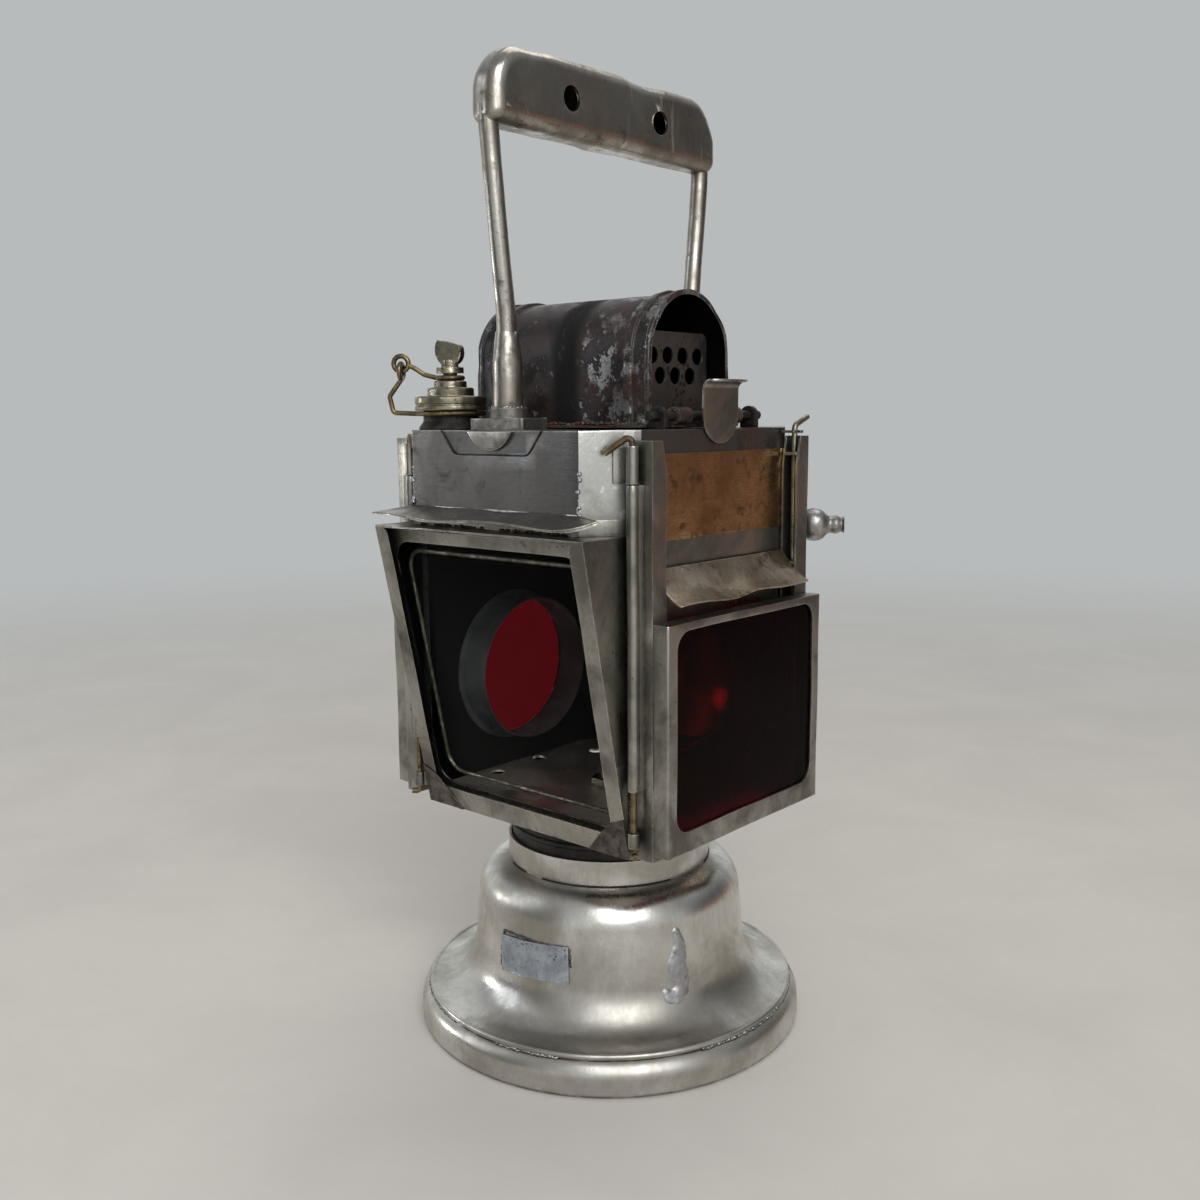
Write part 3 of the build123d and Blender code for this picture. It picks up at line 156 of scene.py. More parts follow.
class Wiring:
    """Adds nodes to a tree and joins them."""

    def __init__(self, tree):
        self.tree = tree

    def give(self, socket, value):
        """Join a socket to another node's, or set its constant."""
        if isinstance(value, bpy.types.NodeSocket):
            self.tree.links.new(value, socket)
        else:
            socket.default_value = value

    def feed(self, node, **sockets):
        """Give a node's named sockets their values."""
        for key, value in sockets.items():
            self.give(node.inputs[key.replace("_", " ")], value)

    def add(self, kind, *values, **named):
        """A new node. Values go to its sockets in order; names with a capital are sockets, others settings."""
        node = self.tree.nodes.new(kind)
        for key in filter(str.islower, named):
            setattr(node, key, named[key])
        for socket, value in zip(node.inputs, values):
            self.give(socket, value)
        self.feed(node, **{key: value for key, value in named.items() if not key.islower()})
        return node

    def out(self, kind, *values, **named):
        """The first output of a new node."""
        return self.add(kind, *values, **named).outputs[0]

    def math(self, operation, *values):
        return self.out("ShaderNodeMath", *values, operation=operation)

    def plus(self, first, second):
        return self.math("ADD", first, second)

    def minus(self, first, second):
        return self.math("SUBTRACT", first, second)

    def times(self, first, second):
        return self.math("MULTIPLY", first, second)

    def larger(self, first, second):
        return self.math("MAXIMUM", first, second)

    def vector(self, operation, *values, output="Vector", **named):
        return self.add("ShaderNodeVectorMath", *values, operation=operation, **named).outputs[output]

    def ramp(self, value, low, high, to_low=0.0, to_high=1.0):
        """A smooth step from one value to another."""
        return self.out("ShaderNodeMapRange", interpolation_type="SMOOTHSTEP", Value=value, From_Min=low,
                        From_Max=high, To_Min=to_low, To_Max=to_high)

    def mix(self, share, first, second):
        """Two colours mixed by a share of the second."""
        node = self.add("ShaderNodeMix", data_type="RGBA")
        sockets = {socket.identifier: socket for socket in node.inputs}
        self.give(sockets["Factor_Float"], share)
        for key, colour in (("A_Color", first), ("B_Color", second)):
            joined = isinstance(colour, bpy.types.NodeSocket)
            self.give(sockets[key], colour if joined else (*colour[:3], 1.0))
        return next(s for s in node.outputs if s.identifier == "Result_Color")

    def noise(self, place, scale, detail, **more):
        return self.out("ShaderNodeTexNoise", Vector=place, Scale=scale, Detail=detail, **more)

    def group(self, name, place, **sockets):
        """The outputs of a shader group placed in this tree."""
        return self.add("ShaderNodeGroup", node_tree=node_group(name), Place=place, **sockets).outputs

    def patches(self, place, patch, low, high):
        return self.group("Cloudy patches", place, Patch=patch, Low=low, High=high)[0]

    def bump(self, height, strength, distance=0.4 * MM):
        return self.out("ShaderNodeBump", Strength=strength, Distance=distance, Height=height)

    def show_mix(self, share, first, second):
        """Put a mix of two shaders on the material's surface."""
        output = next(n for n in self.tree.nodes if n.type == "OUTPUT_MATERIAL")
        self.feed(output, Surface=self.out("ShaderNodeMixShader", share, first, second))


SOCKETS = {float: "NodeSocketFloat", int: "NodeSocketInt", tuple: "NodeSocketVector"}


def new_group(kind, name, ends, outputs, inputs):
    """An empty node group: ends are the sockets before and after its named inputs."""
    tree = bpy.data.node_groups.new(name, kind)
    rows = [(label.replace("_", " "), SOCKETS[type(value)], value) for label, value in inputs.items()]
    for label, socket_kind, *default in [*ends[:1], *rows, *ends[1:]]:
        socket = tree.interface.new_socket(name=label, in_out="INPUT", socket_type=socket_kind)
        if default:
            socket.default_value = default[0]
    for label, socket_kind in outputs:
        tree.interface.new_socket(name=label, in_out="OUTPUT", socket_type=socket_kind)
    net = Wiring(tree)
    return net, net.add("NodeGroupInput").outputs, net.add("NodeGroupOutput")


def shader_tree(name, *outputs, **inputs):
    """An empty shader group that reads a place and puts out masks."""
    masks = [(label, "NodeSocketFloat") for label in outputs]
    return new_group("ShaderNodeTree", name, [("Place", "NodeSocketVector")], masks, inputs)


def geometry_tree(name, **inputs):
    """An empty geometry tree with a path going in, named inputs and a material."""
    ends = [("Path", "NodeSocketGeometry"), ("Finish", "NodeSocketMaterial")]
    return new_group("GeometryNodeTree", name, ends, [("Mesh", "NodeSocketGeometry")], inputs)


def build_cloudy_patches():
    """Soft patches of one size, as smudges and stains have."""
    net, given, out = shader_tree("Cloudy patches", "Mask", Patch=0.02, Low=0.4, High=0.6)
    scale = net.math("DIVIDE", 1.0, given["Patch"])
    cloud = net.noise(given["Place"], scale, 6.0, Roughness=0.62, Distortion=0.4)
    net.feed(out, Mask=net.ramp(cloud, given["Low"], given["High"]))


def build_brushed_lines():
    """Fine lines that run along one direction, and the few deep scratches among them."""
    net, given, out = shader_tree("Brushed lines", "Lines", "Scratches", Stretch=(400, 400, 30), Rarity=0.68)
    stretched, rarity = net.vector("MULTIPLY", given["Place"], given["Stretch"]), given["Rarity"]
    lines = net.noise(stretched, 3.0, 4.0, Roughness=0.7)
    coarse = net.noise(stretched, 1.1, 2.0, Roughness=0.5)
    net.feed(out, Lines=net.ramp(lines, 0.3, 0.7), Scratches=net.ramp(coarse, rarity, net.plus(rarity, 0.05)))


def build_fine_pits():
    """Small scattered pits of uneven size."""
    net, given, out = shader_tree("Fine pits", "Mask", Spacing=0.002, Size=0.25)
    place, scale = given["Place"], net.math("DIVIDE", 1.0, given["Spacing"])
    distance = net.out("ShaderNodeTexVoronoi", Vector=place, Scale=scale, Randomness=1.0)
    spread = net.noise(place, net.times(scale, 0.13), 3.0)
    size = net.times(given["Size"], net.ramp(spread, 0.42, 0.66))
    net.feed(out, Mask=net.ramp(net.minus(size, distance), 0.0, 0.08))


def build_worn_edges():
    """Where an outer edge is rubbed bright, broken up by patches."""
    net, given, out = shader_tree("Worn edges", "Mask", Width=0.0007, Breakup=0.5)
    rounded = net.out("ShaderNodeBevel", samples=4, Radius=given["Width"])
    plain = net.add("ShaderNodeNewGeometry").outputs["Normal"]
    match = net.vector("DOT_PRODUCT", rounded, plain, output="Value")
    edge = net.ramp(net.minus(1.0, match), 0.015, 0.16)
    broken = net.ramp(net.noise(given["Place"], 420.0, 4.0), 0.34, 0.62)
    kept = net.minus(1.0, net.times(given["Breakup"], net.minus(1.0, broken)))
    net.feed(out, Mask=net.times(edge, kept))


def build_corner_shade():
    """Painted shade where sheets meet: corners darkened by ambient occlusion, broken into cloudy patches."""
    net, given, out = shader_tree("Corner grime", "Mask", Reach=0.003)
    open_sky = net.add("ShaderNodeAmbientOcclusion", samples=4, Distance=given["Reach"]).outputs["AO"]
    cloud = net.ramp(net.noise(given["Place"], 300.0, 4.0), 0.25, 0.6)
    net.feed(out, Mask=net.times(net.ramp(net.minus(1.0, open_sky), 0.2, 0.7), cloud))


def build_flaking_paint():
    """Where paint has come off in flakes, with the raised rim of each flake as a height."""
    net, given, out = shader_tree("Flaking paint", "Bare", "Height", Flake=0.004, Cover=0.55)
    place, cover, scale = given["Place"], given["Cover"], net.math("DIVIDE", 1.0, given["Flake"])
    wide = net.noise(place, net.times(scale, 0.22), 2.0)
    fine = net.noise(place, scale, 8.0, Roughness=0.68, Distortion=0.6)
    both, high = net.plus(net.times(wide, 0.55), net.times(fine, 0.45)), net.plus(cover, 0.025)
    net.feed(out, Bare=net.ramp(both, cover, high), Height=net.ramp(both, net.minus(cover, 0.03), high, 1.0, 0.0))


# Finishes

# Near-black for real pits and for painted shade in corners.
PIT_AND_SHADE_DARK = (0.02, 0.018, 0.015)
BRUSH_AXIS = (0.83, -0.55, 0.0)


def new_finish(name, **plain):
    """A material with its Principled shader; plain gives sockets that stay the same all over."""
    material = bpy.data.materials.new(name)
    material.use_nodes = True
    material.node_tree.nodes.clear()
    net = Wiring(material.node_tree)
    shader = net.add("ShaderNodeBsdfPrincipled", **plain)
    net.add("ShaderNodeOutputMaterial", Surface=shader.outputs["BSDF"])
    return material, net, shader, net.add("ShaderNodeTexCoord").outputs["Object"]


def worn_metal(name, bright, dull, stain, edge=None, rough=(0.27, 0.5), patch=0.026, brush=(300, 300, 24),
               pit_spacing=0.0024, pits=0.3, stain_low=0.56, relief=0.12, spots=None, rarity=0.66,
               scratch_tone=None, tarnish=0.3, turn=0.0):
    """Metal that has been handled: clouded, stained, brushed, pitted, and rubbed bright at its edges, with painted
    shade in its corners.
    """
    material, net, shader, place = new_finish(name, Metallic=1.0)
    cloud = net.patches(place, patch, 0.36, 0.64)
    blotch = net.patches(place, patch * 0.31, stain_low, stain_low + 0.14)
    film = net.patches(place, patch * 2.1, 0.4, 0.7)
    slanted = place
    if turn:
        slanted = net.out("ShaderNodeVectorRotate", rotation_type="AXIS_ANGLE", Vector=place, Axis=BRUSH_AXIS,
                          Angle=turn)
    lines, scratches = net.group("Brushed lines", slanted, Stretch=brush, Rarity=rarity)
    pit = net.group("Fine pits", place, Spacing=pit_spacing, Size=pits)[0]
    edges = net.group("Worn edges", place, Width=0.8 * MM, Breakup=0.7)[0]
    # Painted shade: a mask of corners darkened by ambient occlusion.
    corner_shade = net.group("Corner grime", place, Reach=3.6 * MM)[0]
    layers = [(blotch, 0.7, stain), (film, tarnish, stain)]
    if spots:
        layers.append((net.patches(place, patch * 0.55, 0.66, 0.7), 0.8, spots))
    # Among these layers, the corner mask lays painted shade over the metal.
    layers += [(lines, 0.16, stain), (scratches, 0.45, scratch_tone or edge or bright), (pit, 0.7, PIT_AND_SHADE_DARK),
               (corner_shade, 0.75, PIT_AND_SHADE_DARK), (edges, 0.6, edge or bright)]
    colour = net.mix(cloud, bright, dull)
    for mask, share, over in layers:
        colour = net.mix(net.times(mask, share), colour, over)
    gloss = net.plus(net.ramp(cloud, 0.0, 1.0, *rough), net.times(lines, 0.08))
    gloss = net.plus(gloss, net.times(net.larger(blotch, corner_shade), 0.14))
    height = net.plus(net.minus(net.times(lines, 0.3), pit), net.times(cloud, 0.8))
    net.feed(shader, Base_Color=colour, Roughness=net.minus(gloss, net.times(edges, 0.08)),
             Normal=net.bump(height, relief))
    return material


def flaked_paint(name, paint, bare, rust, cover, flake, worse_by=0.0, reflection_band_at=None):
    """Dark paint that has flaked to bare sheet, with rust creeping from the bare places.

    Towards +X the cover drops by worse_by. A soft dark band round X, placed by the last argument, is a painted dark
    reflection.
    """
    material, net, shader, place = new_finish(name, Specular_IOR_Level=0.26)
    along = net.out("ShaderNodeSeparateXYZ", place)
    lost = net.ramp(along, 0.0, 16 * MM, 0.0, worse_by)
    bare_places, rims = net.group("Flaking paint", place, Flake=flake, Cover=net.minus(cover, lost))
    edges = net.group("Worn edges", place, Width=1.3 * MM, Breakup=0.4)[0]
    cloud, dust = net.patches(place, 0.012, 0.4, 0.66), net.patches(place, 0.003, 0.5, 0.75)
    open_metal = net.larger(bare_places, edges)
    painted = net.mix(net.times(cloud, 0.7), paint, tone(58, 42, 40))
    painted = net.mix(net.times(dust, 0.12), painted, tone(84, 74, 70))
    colour = net.mix(open_metal, painted, net.mix(net.larger(cloud, net.times(dust, 0.8)), bare, rust))
    gloss = net.ramp(cloud, 0.0, 1.0, 0.26, 0.44)
    # Painted dark reflection: a soft near-black band round X, with less metal and more roughness under it.
    if reflection_band_at is not None:
        off = net.math("ABSOLUTE", net.minus(along, reflection_band_at))
        soot = net.ramp(off, 3 * MM, 8.5 * MM, 0.9, 0.0)
        colour = net.mix(soot, colour, tone(11, 10, 10))
        open_metal = net.times(open_metal, net.minus(1.0, soot))
        gloss = net.plus(gloss, net.times(soot, 0.5))
    net.feed(shader, Base_Color=colour, Metallic=net.times(open_metal, 0.75), Roughness=gloss,
             Normal=net.bump(net.plus(rims, net.times(dust, 0.3)), 0.5, 0.35 * MM))
    return material


def dusty_glass(name, colour, haze, density=0.35, bend=1.12):
    """Glass with a light film of dust and small seeds in it. The lamps' own rays pass it straight."""
    material, net, shader, place = new_finish(name, Transmission_Weight=1.0, IOR=bend, Metallic=0.0)
    film = net.patches(place, 0.02, 0.5, 0.8)
    seeds = net.group("Fine pits", place, Spacing=0.006, Size=0.16)[0]
    marks = net.larger(net.times(film, density), net.times(seeds, 0.6))
    net.feed(shader, Base_Color=net.mix(net.times(marks, 0.1), colour, haze),
             Roughness=net.ramp(marks, 0.0, 1.0, 0.0, 0.05), Normal=net.bump(film, 0.03))
    passing = net.out("ShaderNodeBsdfTransparent", Color=(*colour, 1.0))
    net.show_mix(net.add("ShaderNodeLightPath").outputs["Is Shadow Ray"], shader.outputs[0], passing)
    return material


def plain_stuff(name, light, dark, rough=(0.6, 0.85), patch=0.006, relief=0.3, sheen=0.0, metallic=0.0,
                shine=0.5):
    """Soot, rubber, stone and the like: two tones in soft patches with a fine grain."""
    material, net, shader, place = new_finish(name, Metallic=metallic, Sheen_Weight=sheen,
                                              Specular_IOR_Level=shine)
    cloud = net.patches(place, patch, 0.36, 0.66)
    grain = net.patches(place, patch * 0.12, 0.35, 0.7)
    net.feed(shader, Base_Color=net.mix(cloud, light, dark), Roughness=net.ramp(grain, 0.0, 1.0, *rough),
             Normal=net.bump(grain, relief))
    return material


OLIVE, BROWN = (78, 75, 69), (76, 64, 54)

# Each row is a maker, its colours (on-screen numbers, or a colour of the panel by name) and its settings
FINISHES = {
    "nickel sheet": (worn_metal, ("nickel", "nickel_dull", OLIVE), dict(
        edge=tone(226, 221, 208), spots=tone(120, 132, 150), rough=(0.24, 0.42), pits=0.2, stain_low=0.6,
        brush=(260, 260, 36), rarity=0.76)),
    "visor sheet": (worn_metal, ((208, 192, 172), (150, 132, 112), BROWN), dict(
        edge=tone(234, 226, 208), rough=(0.2, 0.38), pits=0.16, brush=(260, 260, 36), rarity=0.78, patch=0.018)),
    "nickel bell": (worn_metal, ((217, 216, 211), (175, 172, 164), (128, 118, 106)), dict(
        rough=(0.2, 0.34), patch=0.03, brush=(160, 160, 40), pits=0.1, edge=tone(232, 229, 218), relief=0.08,
        stain_low=0.66, rarity=0.82, tarnish=0.36)),
    # The tank sheet in two copies: the slanted corner walls get a brighter one, a painted highlight, and the rest a
    # dark one, partly a painted dark reflection.
    "nickel chamfer": (worn_metal, ((208, 207, 203), (160, 159, 154), (104, 101, 96)), dict(
        brush=(420, 60, 160), rarity=0.6, rough=(0.24, 0.42), edge=tone(236, 234, 226), pits=0.12, patch=0.036,
        stain_low=0.62, turn=0.7)),
    "tank sheet": (worn_metal, ("tank", (102, 100, 98), (72, 69, 67)), dict(
        edge=tone(204, 200, 190), rough=(0.22, 0.4), patch=0.034, brush=(60, 260, 300), pits=0.16,
        scratch_tone=tone(190, 188, 182), rarity=0.79)),
    "handle steel": (worn_metal, ((190, 186, 178), (146, 139, 129), BROWN), dict(
        rough=(0.18, 0.34), patch=0.02, brush=(300, 300, 30), pits=0.1, edge=tone(226, 222, 212))),
    "knob steel": (worn_metal, ((182, 180, 178), (134, 130, 127), (76, 70, 66)), dict(
        rough=(0.2, 0.38), patch=0.006, pits=0.12)),
    "aged brass": (worn_metal, ("brass", (116, 109, 90), (52, 46, 39)), dict(
        edge=tone(222, 216, 198), rough=(0.17, 0.36), patch=0.007, brush=(200, 200, 900), pit_spacing=0.0016,
        pits=0.2)),
    "name plate brass": (worn_metal, ("plate", (146, 106, 68), (58, 40, 30)), dict(
        edge=tone(226, 192, 142), rough=(0.18, 0.36), patch=0.018, brush=(300, 60, 400), pits=0.12,
        stain_low=0.54, rarity=0.74, relief=0.3, tarnish=0.2, scratch_tone=tone(228, 176, 118))),
    "bronze wire": (worn_metal, ((138, 122, 92), (96, 84, 64), (52, 42, 34)), dict(
        edge=tone(190, 172, 136), rough=(0.28, 0.46), patch=0.006)),
    "nickel wire": (worn_metal, ((160, 154, 138), (112, 104, 88), OLIVE), dict(rough=(0.24, 0.42), patch=0.008)),
    "zinc tag": (worn_metal, ((194, 200, 208), (160, 166, 174), (112, 114, 116)), dict(
        rough=(0.38, 0.58), patch=0.007, pit_spacing=0.0015, pits=0.42, edge=tone(206, 210, 214), relief=0.25)),
    "soft solder": (worn_metal, ((118, 110, 104), (86, 78, 74), (52, 46, 42)), dict(
        rough=(0.3, 0.5), patch=0.005, pit_spacing=0.0014, relief=0.25)),
    "blue solder": (worn_metal, ((196, 197, 198), (166, 167, 169), (116, 114, 112)), dict(
        rough=(0.28, 0.44), patch=0.006, pit_spacing=0.0016, pits=0.2, relief=0.15, edge=tone(214, 216, 220))),
    "foot solder": (worn_metal, ((158, 156, 150), (118, 115, 108), (70, 66, 60)), dict(
        rough=(0.28, 0.48), patch=0.007, pits=0.25, relief=0.2, edge=tone(214, 212, 204))),
    "inner steel": (worn_metal, ((120, 118, 114), (84, 80, 76), (70, 48, 36)), dict(
        rough=(0.35, 0.6), patch=0.012, pits=0.4)),
    "chamber floor": (worn_metal, ((222, 213, 204), (184, 172, 162), (112, 94, 82)), dict(
        rough=(0.32, 0.54), patch=0.03, pits=0.15, stain_low=0.6, brush=(200, 200, 200))),
    "reflector silver": (worn_metal, ((232, 229, 224), (196, 190, 182), (110, 98, 88)), dict(
        rough=(0.07, 0.2), patch=0.016, stain_low=0.64)),
    # Black solder, also laid as thin lines of painted shade in creases.
    "black solder": (plain_stuff, ((58, 54, 50), (26, 24, 23)), dict(
        rough=(0.4, 0.7), patch=0.004, metallic=0.6)),
    "lamp soot": (plain_stuff, ((12, 12, 12), (6, 6, 7)), dict(patch=0.02, relief=0.04, shine=0.0)),
    "tube black": (plain_stuff, ((60, 60, 61), (32, 32, 33)), dict(
        rough=(0.38, 0.6), patch=0.02, relief=0.15, shine=0.3)),
    "neck black": (plain_stuff, ((48, 42, 38), (24, 22, 21)), dict(rough=(0.34, 0.6), metallic=0.5)),
    "gasket rubber": (plain_stuff, ((40, 38, 37), (24, 23, 23)), dict(sheen=0.2)),
    "steatite": (plain_stuff, ((196, 186, 168), (150, 138, 120)), dict(patch=0.003)),
    # The chimney paint carries a painted dark reflection as a band round X = 0.
    "stack paint": (flaked_paint, ("paint", (140, 139, 138), (70, 54, 47)), dict(
        cover=0.61, flake=0.0012, worse_by=0.106, reflection_band_at=0.0)),
    "deck paint": (flaked_paint, ((40, 33, 31), (116, 108, 100), (104, 62, 44)), dict(cover=0.52, flake=0.0026)),
    "clear glass": (dusty_glass, ("clear", (210, 208, 200)), dict(density=0.15, bend=1.07)),
    "ruby glass": (dusty_glass, ("ruby", (150, 30, 30)), {}),
}


def finish(name):
    """The named finish, made from its row on its first use."""
    known = bpy.data.materials.get(name)
    if known:
        return known
    panel = bpy.context.scene.lamp_colours
    maker, colours, settings = FINISHES[name]
    shades = [tuple(getattr(panel, c)) if isinstance(c, str) else tone(*c) for c in colours]
    return maker(name, *shades, **settings)


# Shapes grown by geometry nodes

def close_tree(net, given, out, mesh):
    """Realize, shade, and give the material, as every tree here ends."""
    real = net.out("GeometryNodeRealizeInstances", Geometry=mesh)
    shaded = net.out("GeometryNodeSetShadeSmooth", Geometry=real, Shade_Smooth=True)
    net.feed(out, Mesh=net.out("GeometryNodeSetMaterial", Geometry=shaded, Material=given["Finish"]))


def build_spun_sheet():
    """Turns a section about the vertical axis and presses seeded dents into it."""
    net, given, out = geometry_tree("Spun sheet", Steps_round=128, Corner_radius=0.0, Corner_steps=3,
                                    Dent_depth=0.0, Dent_size=0.02, Seed=1.0)
    section = net.out("GeometryNodeMeshToCurve", Mesh=given["Path"])
    soft = net.out("GeometryNodeFilletCurve", mode="POLY", Curve=section, Radius=given["Corner radius"],
                   Count=given["Corner steps"], Limit_Radius=True)
    axis = net.out("GeometryNodeCurvePrimitiveCircle", Resolution=given["Steps round"], Radius=1e-7)
    upright = net.out("GeometryNodeSetCurveNormal", mode="Z_UP", Curve=axis)
    turned = net.out("GeometryNodeCurveToMesh", Curve=upright, Profile_Curve=soft)
    merged = net.out("GeometryNodeMergeByDistance", Geometry=turned, Distance=MERGE_REACH)
    bumps = net.out("ShaderNodeTexNoise", noise_dimensions="4D", W=given["Seed"], Detail=1.5,
                    Scale=net.math("DIVIDE", 1.0, given["Dent size"]))
    inward = net.math("MINIMUM", net.times(net.minus(bumps, 0.75), given["Dent depth"]), 0.0)
    place = net.out("GeometryNodeInputPosition")
    away = net.vector("NORMALIZE", net.vector("MULTIPLY", place, (1.0, 1.0, 0.0)))
    shift = net.vector("SCALE", away, Scale=inward)
    close_tree(net, given, out, net.out("GeometryNodeSetPosition", Geometry=merged, Offset=shift))


def build_bent_wire():
    """Bends a wire along a path, with rounded bends and closed ends."""
    net, given, out = geometry_tree("Bent wire", Wire_radius=0.001, Bend_radius=0.0015, Steps_round=14)
    line = net.out("GeometryNodeMeshToCurve", Mesh=given["Path"])
    bent = net.out("GeometryNodeFilletCurve", mode="POLY", Curve=line, Radius=given["Bend radius"], Count=7,
                   Limit_Radius=True)
    ring = net.out("GeometryNodeCurvePrimitiveCircle", Resolution=given["Steps round"], Radius=given["Wire radius"])
    close_tree(net, given, out, net.out("GeometryNodeCurveToMesh", Curve=bent, Profile_Curve=ring, Fill_Caps=True))


def build_solder_bead():
    """Lays overlapping drops of uneven size along a path."""
    net, given, out = geometry_tree("Solder bead", Drop_radius=0.0008, Spacing=0.0007, Unevenness=0.4, Seed=1)
    line = net.out("GeometryNodeMeshToCurve", Mesh=given["Path"])
    points = net.out("GeometryNodeCurveToPoints", mode="LENGTH", Curve=line, Length=given["Spacing"])
    spread = given["Unevenness"]
    reach = net.out("ShaderNodeCombineXYZ", *[net.times(given["Drop radius"], spread)] * 3)
    stray = net.add("FunctionNodeRandomValue", data_type="FLOAT_VECTOR")
    size = net.add("FunctionNodeRandomValue", data_type="FLOAT")
    back = net.vector("SCALE", reach, Scale=-1.0)
    for node, limits, values in ((stray, ("Min", "Max"), (back, reach)),
                                 (size, ("Min_001", "Max_001"), (net.minus(1.0, spread), net.plus(1.0, spread)))):
        for key, value in zip((*limits, "Seed"), (*values, given["Seed"])):
            net.give(next(s for s in node.inputs if s.identifier == key), value)
    moved = net.out("GeometryNodeSetPosition", Geometry=points, Offset=stray.outputs[0])
    drop = net.out("GeometryNodeMeshIcoSphere", Radius=given["Drop radius"], Subdivisions=2)
    scale = net.out("ShaderNodeCombineXYZ", *[size.outputs[1]] * 3)
    close_tree(net, given, out, net.out("GeometryNodeInstanceOnPoints", Points=moved, Instance=drop, Scale=scale))


BUILDERS = {
    "Cloudy patches": build_cloudy_patches, "Brushed lines": build_brushed_lines, "Fine pits": build_fine_pits,
    "Worn edges": build_worn_edges, "Corner grime": build_corner_shade, "Flaking paint": build_flaking_paint,
    "Spun sheet": build_spun_sheet, "Bent wire": build_bent_wire, "Solder bead": build_solder_bead,
}


def node_group(name):
    """The named node group, built on its first use."""
    if name not in bpy.data.node_groups:
        BUILDERS[name]()
    return bpy.data.node_groups[name]


def path_mesh(name, paths, closed=False):
    """A mesh of plain edges from lists of points in millimetres."""
    points, edges = [], []
    for path in paths:
        start = len(points)
        points += [tuple(part * MM for part in point) for point in path]
        edges += [(start + i, start + i + 1) for i in range(len(path) - 1)]
        if closed:
            edges.append((start + len(path) - 1, start))
    mesh = bpy.data.meshes.new(name)
    mesh.from_pydata(points, edges, [])
    return mesh


def grown(name, mesh, tree_name, finish_name, values, fuse=0.0):
    """Run a tree on a path and return the plain mesh that comes out."""
    tree = node_group(tree_name)
    carrier = bpy.data.objects.new(name + "_path", mesh)
    bpy.context.scene.collection.objects.link(carrier)
    modifier = carrier.modifiers.new(tree_name, "NODES")
    modifier.node_group = tree
    given = {"Finish": finish(finish_name), **values}
    for item in tree.interface.items_tree:
        if item.item_type == "SOCKET" and item.in_out == "INPUT" and item.name in given:
            modifier[item.identifier] = given[item.name]
    if fuse:
        skin = carrier.modifiers.new("Fuse", "REMESH")
        skin.mode, skin.voxel_size, skin.use_smooth_shade = "VOXEL", fuse, True
    depsgraph = bpy.context.evaluated_depsgraph_get()
    result = bpy.data.meshes.new_from_object(carrier.evaluated_get(depsgraph), depsgraph=depsgraph)
    result.name = name
    bpy.data.objects.remove(carrier)
    result.materials.clear()
    result.materials.append(finish(finish_name))
    return result


def settle(name, mesh, body, slot_name, *replaced, crease=36.0):
    """Make a finished mesh a piece of the lamp."""
    mesh.shade_smooth()
    mesh.set_sharp_from_angle(angle=math.radians(crease))
    piece = bpy.data.objects.new(name, mesh)
    bpy.context.scene.collection.objects.link(piece)
    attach(piece, body)
    if replaced:
        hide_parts(*replaced)


def spin(name, section, body, slot_name, finish_name, *replaced, corner=0.0, dent=0.0, seed=1.0, turns=None,
         place=None, dent_size=None):
    """A turned or spun piece from its closed section, rows of radius and height in millimetres."""
    spinning = bpy.context.scene.lamp_spinning
    mesh = path_mesh(name, [[(r, -z, 0.0) for r, z in section]], closed=True)
    mesh = grown(name, mesh, "Spun sheet", finish_name,
                 {"Steps round": turns or spinning.turns, "Corner radius": corner * MM, "Dent depth": dent,
                  "Dent size": dent_size or spinning.dent_size, "Seed": seed})
    if place is not None:
        mesh.transform(place)
    shape = bmesh.new()
    shape.from_mesh(mesh)
    bmesh.ops.remove_doubles(shape, verts=shape.verts, dist=MERGE_REACH)
    bmesh.ops.recalc_face_normals(shape, faces=shape.faces)
    shape.to_mesh(mesh)
    shape.free()
    settle(name, mesh, body, slot_name, *replaced)


def wire(name, paths, body, slot_name, finish_name, *replaced, radius, bend=1.5, closed=False):
    """Bent wire along one or more paths in millimetres; a closed one comes back to its start."""
    values = {"Wire radius": radius, "Bend radius": bend * MM,
              "Steps round": bpy.context.scene.lamp_wires.steps_round}
    mesh = grown(name, path_mesh(name, paths, closed=closed), "Bent wire", finish_name, values)
    settle(name, mesh, body, slot_name, *replaced, crease=60.0)


def solder(name, paths, body, slot_name, finish_name="soft solder", drop=0.8, spacing=0.7, unevenness=0.4, seed=3,
           fuse=0.28):
    """Fused beads of solder along paths in millimetres."""
    values = {"Drop radius": drop * MM, "Spacing": spacing * MM, "Unevenness": unevenness, "Seed": seed}
    mesh = grown(name, path_mesh(name, paths), "Solder bead", finish_name, values, fuse=fuse * MM)
    settle(name, mesh, body, slot_name, crease=80.0)


def arc(centre_x, centre_y, radius, start, end, steps=10):
    """Points along an arc, angles in degrees; in a section they are rows of radius and height."""
    angles = [math.radians(start + (end - start) * i / steps) for i in range(steps + 1)]
    return [(centre_x + radius * math.cos(a), centre_y + radius * math.sin(a)) for a in angles]


def ring_path(radius, z, centre=(0.0, 0.0), start=0.0, sweep=360.0, steps=48):
    """Points of a level ring or part of one."""
    points = [(x, y, z) for x, y in arc(*centre, radius, start, start + sweep, steps)]
    return points[:-1] if sweep >= 360.0 else points


def mirrored(path):
    """The path on the lamp's other side."""
    return [(-x, y, z) for x, y, z in path]


# Sheets taken over from the frame

WARP_SEED = 1


def wander(point, depth, size):
    """The gentle unevenness that all sheets share, so that neighbours stay together."""
    return noise.noise_vector(point / size) * depth


